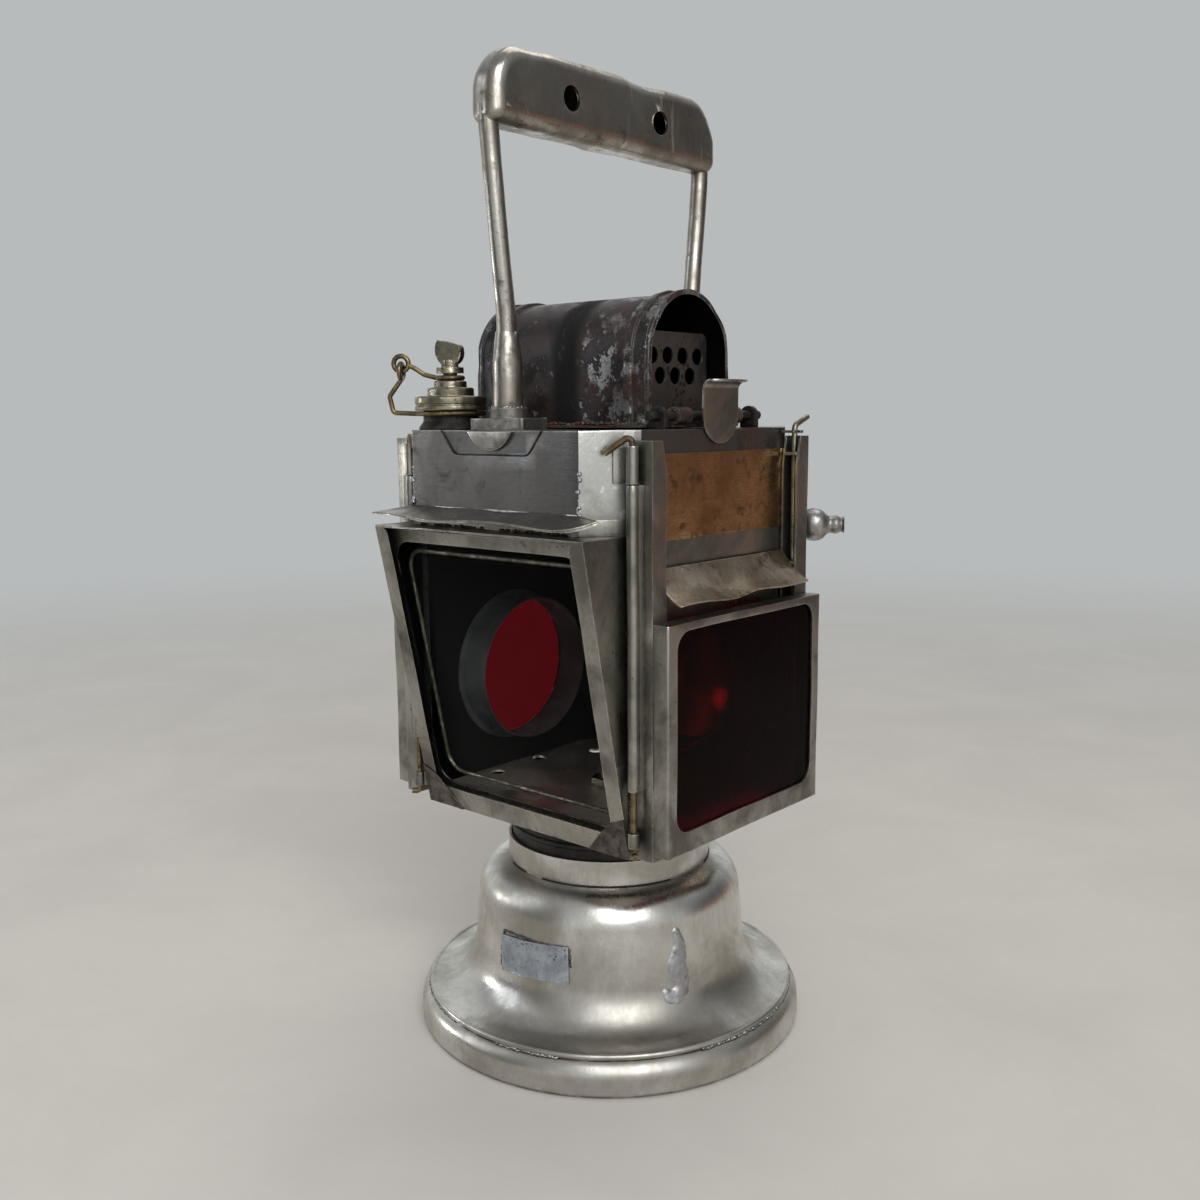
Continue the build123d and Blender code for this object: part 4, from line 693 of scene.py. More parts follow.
def cut_by_grid(shape, step):
    """Cut the faces along a grid, so that flat sheets can bend."""
    for axis in range(3):
        direction = Vector((0.0, 0.0, 0.0))
        direction[axis] = 1.0
        values = [v.co[axis] for v in shape.verts]
        place = (math.floor(min(values) / step) + 0.5) * step
        while place < max(values):
            geometry = shape.verts[:] + shape.edges[:] + shape.faces[:]
            bmesh.ops.bisect_plane(shape, geom=geometry, dist=1e-7, plane_co=direction * place, plane_no=direction)
            place += step


DENT_SHIFT = Vector((3.1, 7.7, 1.3))
INWARD, OUTWARD = -0.35, 0.3


def dress(node, slot_name="nickel_sheet", finish_name=None, *, inside=None, chamfer=None, edge=None,
          step=None, warp=1.0, dent=0.0, dent_size=14 * MM, bow=None, cavity=((0.0, 0.0, 0.0), (0.0, 0.0, 1.0))):
    """A worn copy of a node of the frame: rounded edges, a fine grid, warps and dents, and its finishes.

    The finish is the slot's own unless one is named. inside names the finish of faces that look at the cavity's
    axis, a point and a direction; chamfer names that of the slanted corner walls. bow is how far the sheet
    hangs hollow halfway between its low and high edges.
    """
    point, direction = Vector(cavity[0]), Vector(cavity[1])
    sheets = bpy.context.scene.lamp_sheets
    lowest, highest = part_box(node)
    crease = 32.0
    noise.seed_set(WARP_SEED)
    shape = bmesh.new()
    shape.from_mesh(NODES[node].data)
    bmesh.ops.remove_doubles(shape, verts=shape.verts, dist=MERGE_REACH)
    bmesh.ops.dissolve_limit(shape, angle_limit=math.radians(0.4), verts=shape.verts, edges=shape.edges)
    width = sheets.edge_width if edge is None else edge
    if width:
        sharp = [e for e in shape.edges if len(e.link_faces) == 2 and e.calc_face_angle(0.0) > math.radians(crease)]
        bmesh.ops.bevel(shape, geom=sharp, offset=width, segments=2, profile=0.6, affect="EDGES", clamp_overlap=True)
    cut_by_grid(shape, step or sheets.grid_step)
    bmesh.ops.triangulate(shape, faces=[f for f in shape.faces if len(f.verts) > 4])
    shape.normal_update()

    def level_from_axis(place):
        """The direction that leads from the cavity's axis to a place, square to the axis."""
        away = place - point
        return (away - direction * away.dot(direction)).normalized()

    for vertex in shape.verts:
        if bow:
            share = (vertex.co.z - lowest[2]) / (highest[2] - lowest[2])
            vertex.co += Vector(bow) * 4.0 * share * (1.0 - share)
        vertex.co += wander(vertex.co, sheets.warp_depth * warp, sheets.warp_size)
        if dent:
            depth = noise.noise(vertex.co / dent_size + DENT_SHIFT) - 0.1
            outer = level_from_axis(vertex.co) + Vector((0.0, 0.0, 0.4))
            side = 1.0 if vertex.normal.dot(outer) >= 0.0 else -1.0
            vertex.co -= vertex.normal * side * max(depth, 0.0) * dent * 2.0
        for axis in range(3):
            vertex.co[axis] = min(max(vertex.co[axis], lowest[axis]), highest[axis])
    finishes = [finish_name or slot_name.replace("_", " "), *filter(None, (inside, chamfer))]
    for face in shape.faces:
        face.smooth = True
        face.material_index = 0
        facing = face.normal.dot(level_from_axis(face.calc_center_median()))
        if inside and facing < INWARD:
            face.material_index = finishes.index(inside)
        elif chamfer and face.normal.z ** 2 < 0.1 and 0.25 < abs(face.normal.x) < 0.93 and facing > OUTWARD:
            face.material_index = finishes.index(chamfer)
    mesh = bpy.data.meshes.new("worn_" + node)
    shape.to_mesh(mesh)
    shape.free()
    for used in finishes:
        mesh.materials.append(finish(used))
    settle("worn_" + node, mesh, NODES[node]["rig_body"], slot_name, node, crease=crease)


def coat(node, finish_name):
    """Give a node of the frame a finish of its own, its shape being right as it is."""
    slots = NODES[node].data.materials
    slots.clear()
    slots.append(finish(finish_name))


# The lamp's pieces

class LampOperator:
    """What all the lamp's operators share."""

    bl_options = {"REGISTER", "UNDO"}


class LAMP_OT_stage(LampOperator, bpy.types.Operator):
    """Set the camera, the floor, the background and the soft lights"""

    bl_idname = "lamp.make_stage"
    bl_label = "Stage"

    camera_spot, lens = (0.2812, -0.3231, 0.2186), 36.09
    camera_turns = ((41.38, "Z"), (90.0 - 8.78, "X"), (-0.44, "Z"))
    floor_rings, floor_height = (0.1, 0.3, 0.7, 1.4, 2.4, 3.6), -0.02 * MM
    bright_heading = math.radians(52.0)
    lit_point = Vector((0.0, 0.0, 0.15))

    def execute(self, context):
        stage = context.scene.lamp_stage
        self.place_camera(context)
        self.lay_floor(context, stage)
        self.fill_background(context, stage)
        self.hang_lights(context, stage)
        return {"FINISHED"}

    def place_camera(self, context):
        lens = bpy.data.cameras.new("Camera")
        lens.lens, lens.sensor_width = self.lens, 36.0
        lens.clip_start, lens.clip_end = 0.01, 50.0
        camera = bpy.data.objects.new("Camera", lens)
        context.scene.collection.objects.link(camera)
        pose = Matrix.Translation(self.camera_spot)
        for angle, axis in self.camera_turns:
            pose = pose @ Matrix.Rotation(math.radians(angle), 4, axis)
        camera.matrix_world = pose
        context.scene.camera = camera

    def lay_floor(self, context, stage):
        """A round floor that fades into the background far from the lamp."""
        shape = bmesh.new()
        bmesh.ops.create_circle(shape, cap_ends=True, segments=96, radius=self.floor_rings[0])
        for inner, outer in zip(self.floor_rings, self.floor_rings[1:]):
            edge = [e for e in shape.edges if e.is_boundary]
            added = bmesh.ops.extrude_edge_only(shape, edges=edge)["geom"]
            for vertex in (g for g in added if isinstance(g, bmesh.types.BMVert)):
                vertex.co *= outer / inner
        bmesh.ops.recalc_face_normals(shape, faces=shape.faces)
        for vertex in shape.verts:
            vertex.co.z = self.floor_height
        mesh = bpy.data.meshes.new("floor")
        shape.to_mesh(mesh)
        shape.free()
        floor = bpy.data.objects.new("floor", mesh)
        context.scene.collection.objects.link(floor)
        material, net, shader, place = new_finish("pale floor", Metallic=0.0, Specular_IOR_Level=0.3)
        cloud, grain = net.patches(place, 0.12, 0.3, 0.7), net.patches(place, 0.004, 0.3, 0.7)
        colour = tuple(stage.floor)
        darker = tuple(part * 0.92 for part in colour)
        net.feed(shader, Base_Color=net.mix(cloud, colour, darker), Roughness=net.ramp(grain, 0.0, 1.0, 0.55, 0.7))
        away = net.ramp(net.vector("LENGTH", place, output="Value"), 0.3, 1.5)
        net.show_mix(away, shader.outputs[0], net.out("ShaderNodeBsdfTransparent"))
        mesh.materials.append(material)

    def fill_background(self, context, stage):
        """Pale behind the lamp; the room that it reflects is brown to one side, grey to the other, and bright
        behind the camera."""
        world = bpy.data.worlds.new("room")
        world.use_nodes = True
        world.node_tree.nodes.clear()
        net = Wiring(world.node_tree)
        way = net.add("ShaderNodeTexCoord").outputs["Generated"]
        rise = net.add("ShaderNodeSeparateXYZ", way).outputs["Z"]
        across, ahead = math.cos(self.bright_heading), math.sin(self.bright_heading)
        along = net.vector("DOT_PRODUCT", way, (ahead, -across, 0.0), output="Value")
        aside = net.vector("DOT_PRODUCT", way, (across, ahead, 0.0), output="Value")
        lobe = net.ramp(net.math("POWER", net.math("ABSOLUTE", along), 1.5), 0.1, 0.85)
        brown = net.times(net.ramp(aside, -0.25, 0.35), net.ramp(rise, 0.0, 0.16, 1.0, 0.0))
        pale = tuple(stage.background)
        room = net.mix(brown, tone(64, 64, 65), tone(126, 91, 78))
        room = net.mix(lobe, room, tuple(min(part * 1.7, 1.0) for part in pale))
        room = net.mix(net.times(net.ramp(rise, 0.15, 0.9), 0.55), room, tone(214, 216, 218))
        path = net.add("ShaderNodeLightPath").outputs
        seen = net.larger(path["Is Camera Ray"], path["Is Transmission Ray"])
        share = net.larger(seen, net.times(path["Is Glossy Ray"], 0.1))
        shade = net.out("ShaderNodeBackground", Color=net.mix(share, room, pale))
        net.add("ShaderNodeOutputWorld", Surface=shade)
        context.scene.world = world
        context.scene.view_settings.view_transform = "Standard"

    def hang_lights(self, context, stage):
        """Soft lamps: each row is a name, a place, a width, a height, a power and a colour."""
        window, fill = stage.window_power, stage.fill_power
        rows = (("window light", (0.75, -0.55, 0.75), 0.7, 0.9, window, tone(250, 252, 255)),
                ("fill light", (-0.75, -0.75, 0.55), 0.5, 0.7, fill, tone(240, 246, 255)),
                ("top light", (-0.1, 0.35, 1.1), 0.6, 0.6, fill, tone(255, 250, 244)),
                ("side light", (-1.05, -0.55, 0.2), 0.15, 0.15, fill * 0.6, tone(255, 252, 248)))
        for name, spot, width, height, power, colour in rows:
            light = bpy.data.lights.new(name, "AREA")
            light.shape, light.size, light.size_y = "RECTANGLE", width, height
            light.energy, light.color = power, colour
            lamp = bpy.data.objects.new(name, light)
            context.scene.collection.objects.link(lamp)
            aim = (self.lit_point - Vector(spot)).to_track_quat("-Z", "Y")
            lamp.matrix_world = Matrix.Translation(spot) @ aim.to_matrix().to_4x4()


class LAMP_OT_base(LampOperator, bpy.types.Operator):
    """Spin the bell and the foot ring, and finish what is soldered on or held inside them"""

    bl_idname = "lamp.make_base"
    bl_label = "Base"

    # The bell's section in millimetres; an arc is the radius and height of its centre, and its own radius
    flare, shoulder, mouth = (65.0, 28.6, 15.2), (36.0, 46.5, 12.2), 36.9
    wall_radius, taper, sheet = 49.8, 0.0894, 0.9
    tag_spot = (-81.5, 34.8)

    def execute(self, context):
        spinning = context.scene.lamp_spinning
        section = arc(66.15, 12.8, spinning.hem_radius / MM, -65.0, 146.0)
        section += self.bell_line(0.0) + self.bell_line(self.sheet)[::-1]
        spin("bell", section, "base", "nickel_sheet", "nickel bell", "base_bell", dent=spinning.dent_depth, seed=4.0)
        spin("foot_roll", self.foot_line(), "base", "nickel_sheet", "nickel bell", "foot_ring", dent=0.22 * MM,
             dent_size=16 * MM, seed=2.0)
        for node in ("bottom_plate", "carbide_can", "can_lid"):
            coat(node, "inner steel")
        coat("base_gasket", "gasket rubber")
        dress("number_tag", "zinc_tag", edge=0.12 * MM, step=2 * MM, warp=0.0, dent=0.12 * MM, dent_size=4 * MM)
        tag_edge = ((-16.5, -5.6), (-17, 0), (-16.4, 6.6), (-8, 6.9), (0, 6.6), (9, 6.4), (16.6, 6.2), (17, 0))
        edge = [self.on_wall(self.tag_spot[0] + angle, self.tag_spot[1] + rise) for angle, rise in tag_edge]
        solder("tag_solder", [edge], "base", "nickel_sheet", drop=0.34, spacing=0.35, unevenness=0.5, fuse=0.16)
        self.lay_smear()
        groove = ((-168.0, 66.0), (-84.0, 20.0), (-22.0, 74.0), (96.0, 30.0))
        solder("groove_solder", self.parts_of_ring(66.95, 12.0, groove), "base", "nickel_sheet", "foot solder",
               drop=0.42, spacing=0.4, unevenness=0.5, seed=11, fuse=0.2)
        # A thin dark line in parts round the crease under the collar: painted shade.
        crease = ((-118.0, 16.0), (-88.0, 74.0), (20.0, 60.0), (130.0, 40.0))
        wire("collar_crease", self.parts_of_ring(37.0, 58.75, crease), "base", "nickel_sheet", "black solder",
             radius=0.22 * MM)
        return {"FINISHED"}

    def parts_of_ring(self, radius, z, rows):
        """Paths along parts of a level ring: each row is where a part starts and how far it sweeps."""
        return [ring_path(radius, z, start=start, sweep=sweep, steps=40) for start, sweep in rows]

    def bell_line(self, inset):
        """The bell's section from the hem up, moved in by the inset."""
        (flare_r, flare_z, flare), (centre_r, centre_z, reach) = self.flare, self.shoulder
        mouth, reach = self.mouth - inset, reach - inset
        high = math.degrees(math.acos((mouth - centre_r) / reach))
        rows = arc(flare_r, flare_z, flare + inset, 270.0, 180.0, 20)
        rows += [(self.wall_radius - inset - self.taper * (z - flare_z), z) for z in (32.0, 35.5, 39.0, 42.5)]
        rows += arc(centre_r, centre_z, reach, 0.0, high, 14)
        return rows + [(mouth, z) for z in (60.0, 62.5, 65.0, 67.5)]

    def foot_line(self):
        """The foot's section: rounded land, upright wall, brow, and a turned-in top."""
        outer = [(64.5, 0.0), (66.0, 0.0)] + arc(68.0, 2.0, 2.0, 270.0, 360.0, 6) + [(70.0, 4.0), (70.0, 6.2)]
        brow_in, brow_up = 3.4, 5.6
        brow = (brow_in ** 2 + brow_up ** 2) / (2 * brow_in)
        sweep = math.degrees(math.asin(brow_up / brow))
        outer += arc(70.0 - brow, 6.2, brow, 0.0, sweep, 7)[1:] + [(65.6, 11.8), (64.5, 11.8)]
        return outer + [(64.5, 10.8), (66.2, 10.8), (68.0, 9.0), (69.0, 6.2), (69.0, 3.0), (68.0, 1.0), (64.5, 1.0)]

    def lay_smear(self):
        """An old smear of solder on the bell, proud of its skin along a hooked stroke and sunk into it elsewhere.

        The stroke's rows are an angle round the bell, a height and a half width.
        """
        stroke = ((-21.2, 45.0, 1.4), (-19.8, 41.0, 2.0), (-20.0, 37.0, 2.6), (-21.6, 33.5, 3.0), (-20.6, 30.5, 3.2),
                  (-19.6, 28.0, 2.8), (-19.6, 25.4, 2.4), (-22.0, 23.6, 2.2), (-25.2, 23.4, 1.8), (-27.0, 25.4, 1.2))
        rows, columns = 72, 34
        bottom, height, first_angle, sweep = 18.5, 30.0, -32.0, 18.0
        per_degree, thickness, sunk = 0.87, 0.34, -0.6
        mesh = bmesh.new()
        grid = []
        for row in range(rows + 1):
            z = bottom + height * row / rows
            line = []
            for column in range(columns + 1):
                angle = first_angle + sweep * column / columns
                rise = -1.0
                for first, second in zip(stroke, stroke[1:]):
                    for share in (0.0, 0.25, 0.5, 0.75):
                        a, h, width = (p + (q - p) * share for p, q in zip(first, second))
                        gap = math.hypot((angle - a) * per_degree, z - h)
                        rise = max(rise, 1.0 - (gap / width) ** 2)
                ripple = noise.noise(Vector((angle * 0.5, z * 0.5, 2.0))) * 0.5
                proud = thickness * max(rise + ripple, -1.0) if rise > -0.6 else sunk
                line.append(mesh.verts.new([part * MM for part in self.on_wall(angle, z, proud)]))
            grid.append(line)
        for low, high in zip(grid, grid[1:]):
            for i in range(columns):
                mesh.faces.new((low[i], low[i + 1], high[i + 1], high[i]))
        data = bpy.data.meshes.new("bell_smear")
        mesh.to_mesh(data)
        mesh.free()
        data.materials.append(finish("blue solder"))
        settle("bell_smear", data, "base", "nickel_sheet", crease=80.0)

    def on_wall(self, angle, z, proud=0.0):
        """A point on the bell, at an angle round it, and so far out from its skin."""
        flare_r, flare_z, flare = self.flare
        radius = self.wall_radius - self.taper * (z - flare_z)
        if z < flare_z:
            radius = flare_r - math.sqrt(flare ** 2 - (flare_z - z) ** 2)
        radius += proud
        return (radius * math.cos(math.radians(angle)), radius * math.sin(math.radians(angle)), z)


class LAMP_OT_chamber(LampOperator, bpy.types.Operator):
    """Dress the neck, the eight-sided chamber and what stands in it"""

    bl_idname = "lamp.make_chamber"
    bl_label = "Chamber"

    def execute(self, context):
        neck = [(35.5, 61.1), (35.5, 70.6)] + arc(35.5, 72.0, 1.0, -80.0, 80.0, 6)
        neck += [(35.5, 73.4), (35.5, 81.9), (40.0, 81.9), (40.0, 83.0), (34.5, 83.0), (34.5, 61.1)]
        spin("neck_sleeve", neck, "head", "chamber_black", "neck black", "neck_tube", corner=0.3, dent=0.18 * MM,
             turns=96)
        dress("chamber_shell", inside="lamp soot")
        dress("floor_plate", "floor_metal", "chamber floor", edge=0.0, warp=1.6, dent=0.4 * MM)
        dress("light_tubes", "chamber_black", "tube black", edge=0.12 * MM, warp=0.5)
        coat("reflector", "reflector silver")
        dress("burner_riser", "aged_brass", warp=0.0)
        dress("burner_tip", "steatite", warp=0.0, edge=0.0)
        dress("drip_cock", "aged_brass", warp=0.0)
        coat("drip_pipe", "aged brass")
        return {"FINISHED"}


class LAMP_OT_window(LampOperator, bpy.types.Operator):
    """Dress the slanted front window, its hood, glass and dented visor"""

    bl_idname = "lamp.make_window"
    bl_label = "Front window"

    # The window's slope, and how far behind it the retaining wire lies, in millimetres
    slope_low, slope_high = Vector((0.0, -44.4, 79.0)), Vector((0.0, -65.8, 181.5))
    retainer_behind = 7.18

    def execute(self, context):
        dress("window_hood", inside="lamp soot")
        dress("corner_patches", "nickel_sheet", "soft solder", edge=THIN_EDGE, step=2.5 * MM, dent=0.3 * MM,
              dent_size=4 * MM)
        dress("window_frame", inside="lamp soot")
        dress("front_glass", "clear_glass", warp=0.0, edge=THIN_EDGE)
        dress("front_visor", step=4 * MM, dent=0.4 * MM)
        up = (self.slope_high - self.slope_low).normalized()
        start = self.slope_low + Vector((0.0, up.z, -up.y)) * self.retainer_behind
        places = [start + up * rise + Vector((x, 0.0, 0.0))
                  for x, rise in ((41.5, 10.9), (41.5, 94.7), (-41.5, 94.7), (-41.5, 10.9))]
        wire("glass_retainer", [places], "head", "wire_nickel", "nickel wire", "window_retainer", radius=0.75 * MM,
             bend=7.0, closed=True)
        return {"FINISHED"}


class LAMP_OT_tank(LampOperator, bpy.types.Operator):
    """Dress the water tank, its tab, name plate, lifting tabs and catches"""

    bl_idname = "lamp.make_tank"
    bl_label = "Water tank"

    def execute(self, context):
        # The tank's dark copy is partly a painted dark reflection; its slanted corner walls take a brighter copy, a
        # painted highlight.
        dress("water_tank", "dark_tank", "tank sheet", inside="lamp soot", chamfer="nickel chamfer", dent=0.3 * MM)
        dress("tank_front_tab", step=FINE_STEP)
        dress("name_plate", "plate_brass", "name plate brass", edge=0.1 * MM, step=FINE_STEP, dent=0.12 * MM,
              dent_size=6 * MM)
        dress("lift_tabs", step=FINE_STEP)
        dress("door_catches", step=FINE_STEP)
        dress("handle_feet", "dark_tank", "foot solder", step=FINE_STEP, dent=0.3 * MM, dent_size=5 * MM)
        # A thin dark line along the edge of the tank's front recess: painted shade.
        recess = [(x, -56.45, z) for x, z in ((-22.9, 213.6), (-17.0, 206.0), (17.0, 206.0), (22.9, 213.6))]
        wire("recess_edge", [recess], "head", "dark_tank", "black solder", radius=0.3 * MM, bend=4.0)
        seam = [(37.9, -56.3, z) for z in (188.4, 189.6, 191.0, 193.6, 195.0, 197.8, 201.0)]
        solder("tank_solder", [seam, mirrored(seam)], "head", "dark_tank", "blue solder", drop=0.5, spacing=0.9,
               unevenness=0.8, seed=6, fuse=0.2)
        return {"FINISHED"}


class LAMP_OT_hinges(LampOperator, bpy.types.Operator):
    """Dress the hinge leaves and bend the long hinge pins"""

    bl_idname = "lamp.make_hinges"
    bl_label = "Hinges"

    def execute(self, context):
        dress("hinge_leaves", step=FINE_STEP)
        pin = [(53.2, -48.75, 82.3), (51.0, -46.75, 82.3), (51.0, -46.75, 212.8), (43.9, -51.25, 207.0)]
        wire("long_pins", [pin, mirrored(pin)], "head", "bronze_wire", "bronze wire", "hinge_pins",
             radius=context.scene.lamp_wires.pin_radius)
        return {"FINISHED"}


class LAMP_OT_filler(LampOperator, bpy.types.Operator):
    """Turn the filler's neck, cap and screw plug, and bend its keeper wires"""

    bl_idname = "lamp.make_filler"
    bl_label = "Filler"

    # The filler's centre, the level direction that its keeper points in, and the keeper's eye, in millimetres
    centre, keeper_way = (-33.0, -43.0), (-0.8336, -0.5524)
    eye_reach, eye_z, eye_radius = 17.2, 236.2, 2.6

    def execute(self, context):
        place = Matrix.Translation((self.centre[0] * MM, self.centre[1] * MM, 0.0))
        neck = [(6.0, 213.8), (11.2, 213.8), (11.1, 214.6), (9.9, 216.2), (9.6, 216.8), (9.6, 220.2), (6.0, 220.2)]
        spin("filler_foot", neck, "head", "solder_black", "black solder", "filler_neck", corner=0.4, dent=0.4 * MM,
             dent_size=4 * MM, turns=64, place=place)
        cap = [(2.46, 220.2), (12.0, 220.2), (12.3, 220.6), (12.3, 221.6), (11.8, 221.9), (11.8, 222.3), (12.3, 222.6),
               (12.3, 224.5), (11.9, 225.0), (8.1, 225.0), (8.0, 225.4), (8.0, 227.4), (7.6, 227.9), (5.7, 227.9),
               (5.6, 228.3), (5.6, 229.8), (5.2, 230.2), (2.46, 230.2)]
        spin("filler_lid", cap, "head", "aged_brass", "aged brass", "filler_cap", corner=0.25, dent=0.2 * MM,
             dent_size=6 * MM, turns=72, place=place)
        dress("screw_plug", "aged_brass", edge=0.3 * MM, step=2 * MM, warp=0.0, dent=0.2 * MM, dent_size=3 * MM)
        eye = arc(0.0, 0.0, self.eye_radius, -170.0, 180.0, 35)
        arm = ((4.3, 231.2), (9.0, 232.4), (12.4, 234.6), (14.6, 235.6))
        upper_eye = [self.beside(self.eye_reach + out, self.eye_z + rise) for out, rise in eye]
        self.bend_keeper("keeper_link", "keeper_upper", ring_path(4.21, 231.2, self.centre, steps=40), arm, upper_eye)
        tail = ((11.2, 219.2), (20.4, 219.6), (21.6, 225.2), (17.2, 231.0))
        lower_eye = [self.beside(self.eye_reach, self.eye_z - self.eye_radius + rise, side) for side, rise in eye]
        self.bend_keeper("keeper_wire", "keeper_lower", ring_path(11.2, 219.2, self.centre), tail, lower_eye)
        return {"FINISHED"}

    def beside(self, reach, z, side=0.0):
        """A point so far out from the filler along the keeper's direction, and so far to its side."""
        (x, y), (way_x, way_y) = self.centre, self.keeper_way
        return (x + way_x * reach - way_y * side, y + way_y * reach + way_x * side, z)

    def bend_keeper(self, name, node, ring, arm, eye):
        """A keeper wire: a ring round the filler, an arm of reaches and heights, and an eye at its end."""
        paths = [ring + ring[:1], [self.beside(reach, z) for reach, z in arm], eye + eye[:1]]
        wire(name, paths, "head", "bronze_wire", "bronze wire", node,
             radius=bpy.context.scene.lamp_wires.keeper_radius)


class LAMP_OT_knob(LampOperator, bpy.types.Operator):
    """Turn the drip regulator's knob"""

    bl_idname = "lamp.make_knob"
    bl_label = "Regulator knob"

    def execute(self, context):
        dress("regulator_knob", "knob_steel", edge=0.2 * MM, step=FINE_STEP, warp=0.0)
        return {"FINISHED"}


class LAMP_OT_chimney(LampOperator, bpy.types.Operator):
    """Dress the tilting chimney, its deck, baffles and rod"""

    bl_idname = "lamp.make_chimney"
    bl_label = "Chimney"

    def execute(self, context):
        dress("chimney_stack", "stack_paint", step=FINE_STEP, dent=0.7 * MM, dent_size=12 * MM, inside="lamp soot",
              cavity=((0.0, 0.0, 0.228), (1.0, 0.0, 0.0)))
        dress("chimney_deck", "stack_paint", "deck paint", step=4 * MM, dent=0.2 * MM)
        dress("chimney_baffles", "inner_steel", step=4 * MM)
        dress("stack_rod", "knob_steel", "neck black", warp=0.0)
        dress("stack_lugs", "solder_black", "neck black", warp=0.0)
        seams = [[(x, y, 215.4) for x in range(-40, 37, 2)] for y in (-21.3, 21.3)]
        solder("stack_seam", seams, "chimney", "stack_paint", "deck paint", drop=0.6, spacing=0.8, unevenness=0.6)
        return {"FINISHED"}


class LAMP_OT_handle(LampOperator, bpy.types.Operator):
    """Dress the carrying handle and its hollow grip"""

    bl_idname = "lamp.make_handle"
    bl_label = "Handle"

    def execute(self, context):
        dress("handle_grip", "handle_steel", edge=0.5 * MM, step=FINE_STEP, dent=0.7 * MM, dent_size=15 * MM, warp=1.2)
        dress("handle_sleeves", "handle_steel", step=FINE_STEP, warp=0.0, dent=0.3 * MM, dent_size=6 * MM)
        dress("handle_rods", "handle_steel", step=5 * MM, warp=0.6)
        feet, lumps = [], []
        for y in (-48.0, 48.0):
            foot = ring_path(4.6, 220.8, (0.0, y), steps=12)
            feet.append(foot + foot[:1])
            lumps.append([self.on_sleeve(y, 0.9 * i, 234.5 + 0.36 * i) for i in range(30)])
        solder("sleeve_foot_solder", feet, "head", "handle_steel", "handle steel", drop=0.6, unevenness=0.5)
        solder("sleeve_solder", lumps, "head", "handle_steel", "blue solder", drop=1.0, spacing=1.3, unevenness=0.5,
               fuse=0.3)
        return {"FINISHED"}

    def on_sleeve(self, y, angle, z):
        """A point a little under the skin of a handle's tapered sleeve, the angle in radians."""
        radius = (4.0 - 0.11 * (z - 233.0)) * 0.82
        return (radius * math.cos(angle), y + radius * math.sin(angle), z)


class LAMP_OT_doors(LampOperator, bpy.types.Operator):
    """Dress both side doors: posts, framed ruby glass, visor, knuckle and latch pin"""

    bl_idname = "lamp.make_doors"
    bl_label = "Side doors"

    # The left door's lean off its wall and the upright line that it leans about; the spring's plane
    lean, lean_about = math.radians(4.5), Vector((51.0, 43.5, 0.0))
    spring_x = 57.85

    def execute(self, context):
        wires = context.scene.lamp_wires
        latch = [(52.7, 39.6, 160.0), (52.7, 39.6, 214.2), (52.7, 47.6, 217.2)]
        spring = [(self.spring_x, y, z) for y, z in ((-40.6, 84.9), (40.6, 84.9), (40.6, 152.6), (-40.6, 152.6))]
        for side, inward in (("right", -1.1), ("left", 1.1)):
            dress(f"{side}_posts")
            dress(f"{side}_glass_frame")
            dress(f"{side}_visor", "nickel_sheet", "visor sheet", step=2 * MM, dent=0.3 * MM,
                  bow=(inward * MM, 0.0, -1.4 * MM))
            dress(f"{side}_knuckle")
            dress(f"{side}_red_glass", "red_glass", "ruby glass", warp=0.0, edge=THIN_EDGE)
            wire(f"{side}_latch", [self.placed(latch, side)], f"{side}_door", "wire_nickel", "nickel wire",
                 f"{side}_latch_pin", radius=wires.pin_radius, bend=1.6)
            wire(f"{side}_spring", [self.placed(spring, side)], f"{side}_door", "wire_nickel", "nickel wire",
                 f"{side}_glass_spring", radius=wires.spring_radius, bend=4.0, closed=True)
        return {"FINISHED"}

    def placed(self, path, side):
        """The path on the right-hand door, or leaned and mirrored to the left-hand one."""
        if side == "right":
            return path
        turn = Matrix.Rotation(self.lean, 4, "Z")
        return mirrored([turn @ (Vector(point) - self.lean_about) + self.lean_about for point in path])


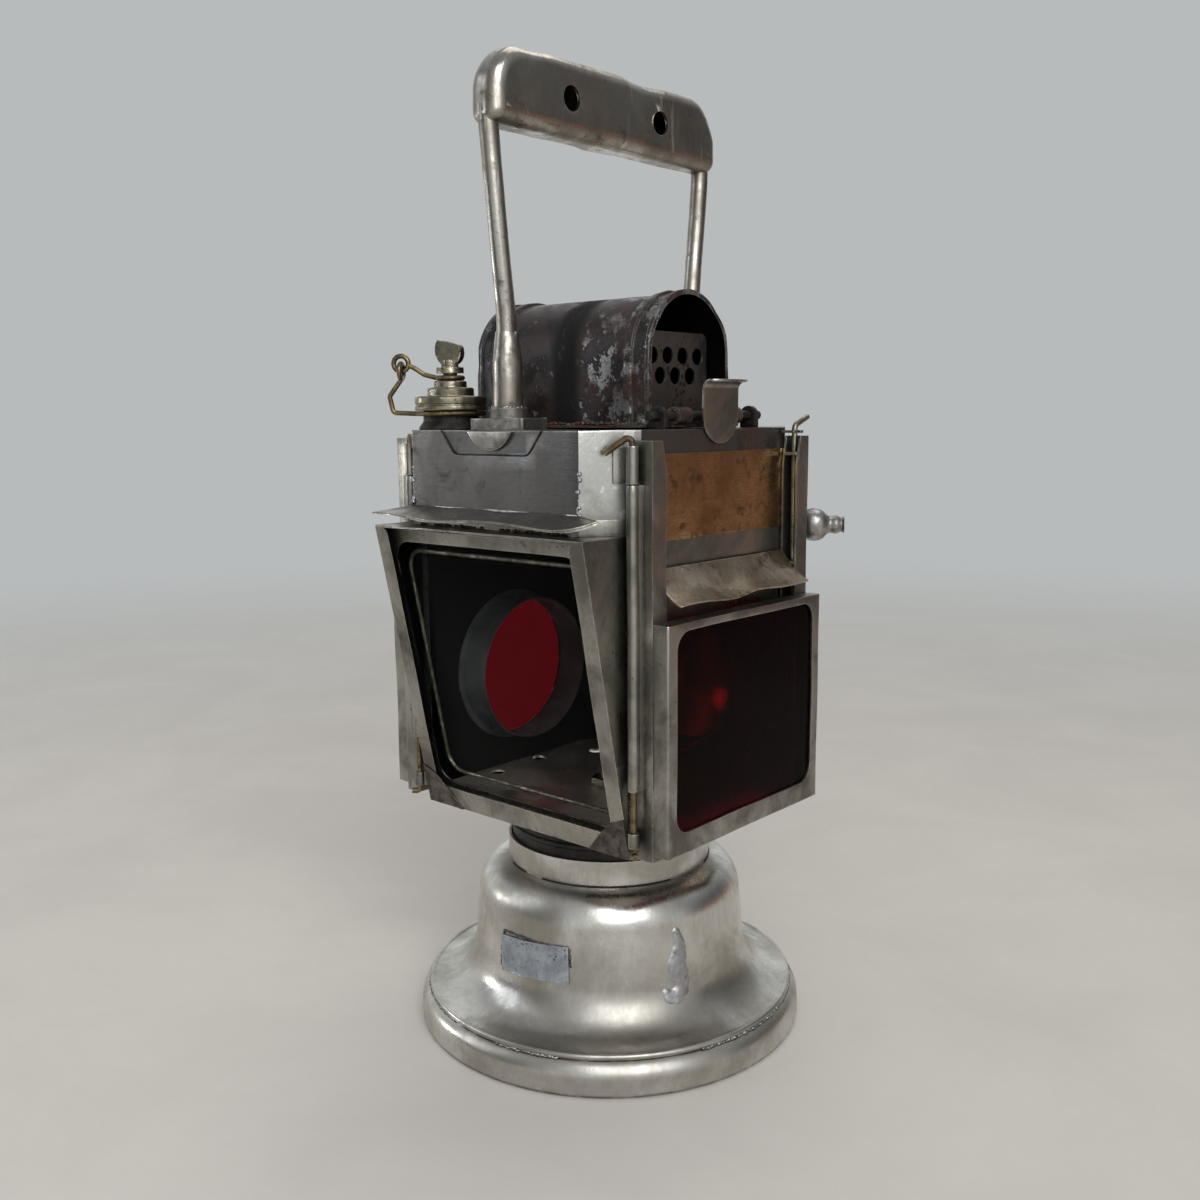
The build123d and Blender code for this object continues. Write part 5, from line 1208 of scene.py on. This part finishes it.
class LAMP_OT_solder(LampOperator, bpy.types.Operator):
    """Lay the uneven solder along the seams of the head"""

    bl_idname = "lamp.make_solder"
    bl_label = "Solder seams"

    def execute(self, context):
        cheek, brow = [(47.9, -44.8, z) for z in range(84, 181, 4)], [(x, -56.7, 182.3) for x in range(4, 37, 3)]
        solder("hood_solder", [mirrored(cheek), mirrored(brow), cheek, brow], "head", "nickel_sheet", drop=0.4,
               spacing=0.55, unevenness=0.6, seed=8, fuse=0.2)
        return {"FINISHED"}


class LAMP_PT_panel(bpy.types.Panel):
    """Lists the steps that make the lamp"""

    bl_idname = "LAMP_PT_panel"
    bl_label = "Carbide signal lamp"
    bl_space_type = "VIEW_3D"
    bl_region_type = "UI"
    bl_category = "Lamp"

    def draw(self, context):
        column = self.layout.column(align=True)
        for step in STEPS:
            column.operator(step.bl_idname)
        for name, _ in SETTINGS:
            settings = getattr(context.scene, name)
            box = self.layout.box()
            for key in settings.bl_rna.properties.keys():
                if key not in ("rna_type", "name"):
                    box.prop(settings, key)


SETTINGS = (("lamp_sheets", LampSheets), ("lamp_spinning", LampSpinning), ("lamp_wires", LampWires),
            ("lamp_colours", LampColours), ("lamp_stage", LampStage))
STEPS = (LAMP_OT_stage, LAMP_OT_base, LAMP_OT_chamber, LAMP_OT_window, LAMP_OT_tank, LAMP_OT_hinges,
         LAMP_OT_filler, LAMP_OT_knob, LAMP_OT_chimney, LAMP_OT_handle, LAMP_OT_doors, LAMP_OT_solder)
CLASSES = (*(settings for _, settings in SETTINGS), *STEPS, LAMP_PT_panel)


def register():
    for kind in CLASSES:
        bpy.utils.register_class(kind)
    for name, settings in SETTINGS:
        setattr(bpy.types.Scene, name, PointerProperty(type=settings))


def unregister():
    for name, _ in SETTINGS:
        delattr(bpy.types.Scene, name)
    for kind in reversed(CLASSES):
        bpy.utils.unregister_class(kind)


def main():
    register()
    for step in STEPS:
        group, name = step.bl_idname.split(".")
        getattr(getattr(bpy.ops, group), name)()


if __name__ == "__main__":
    main()
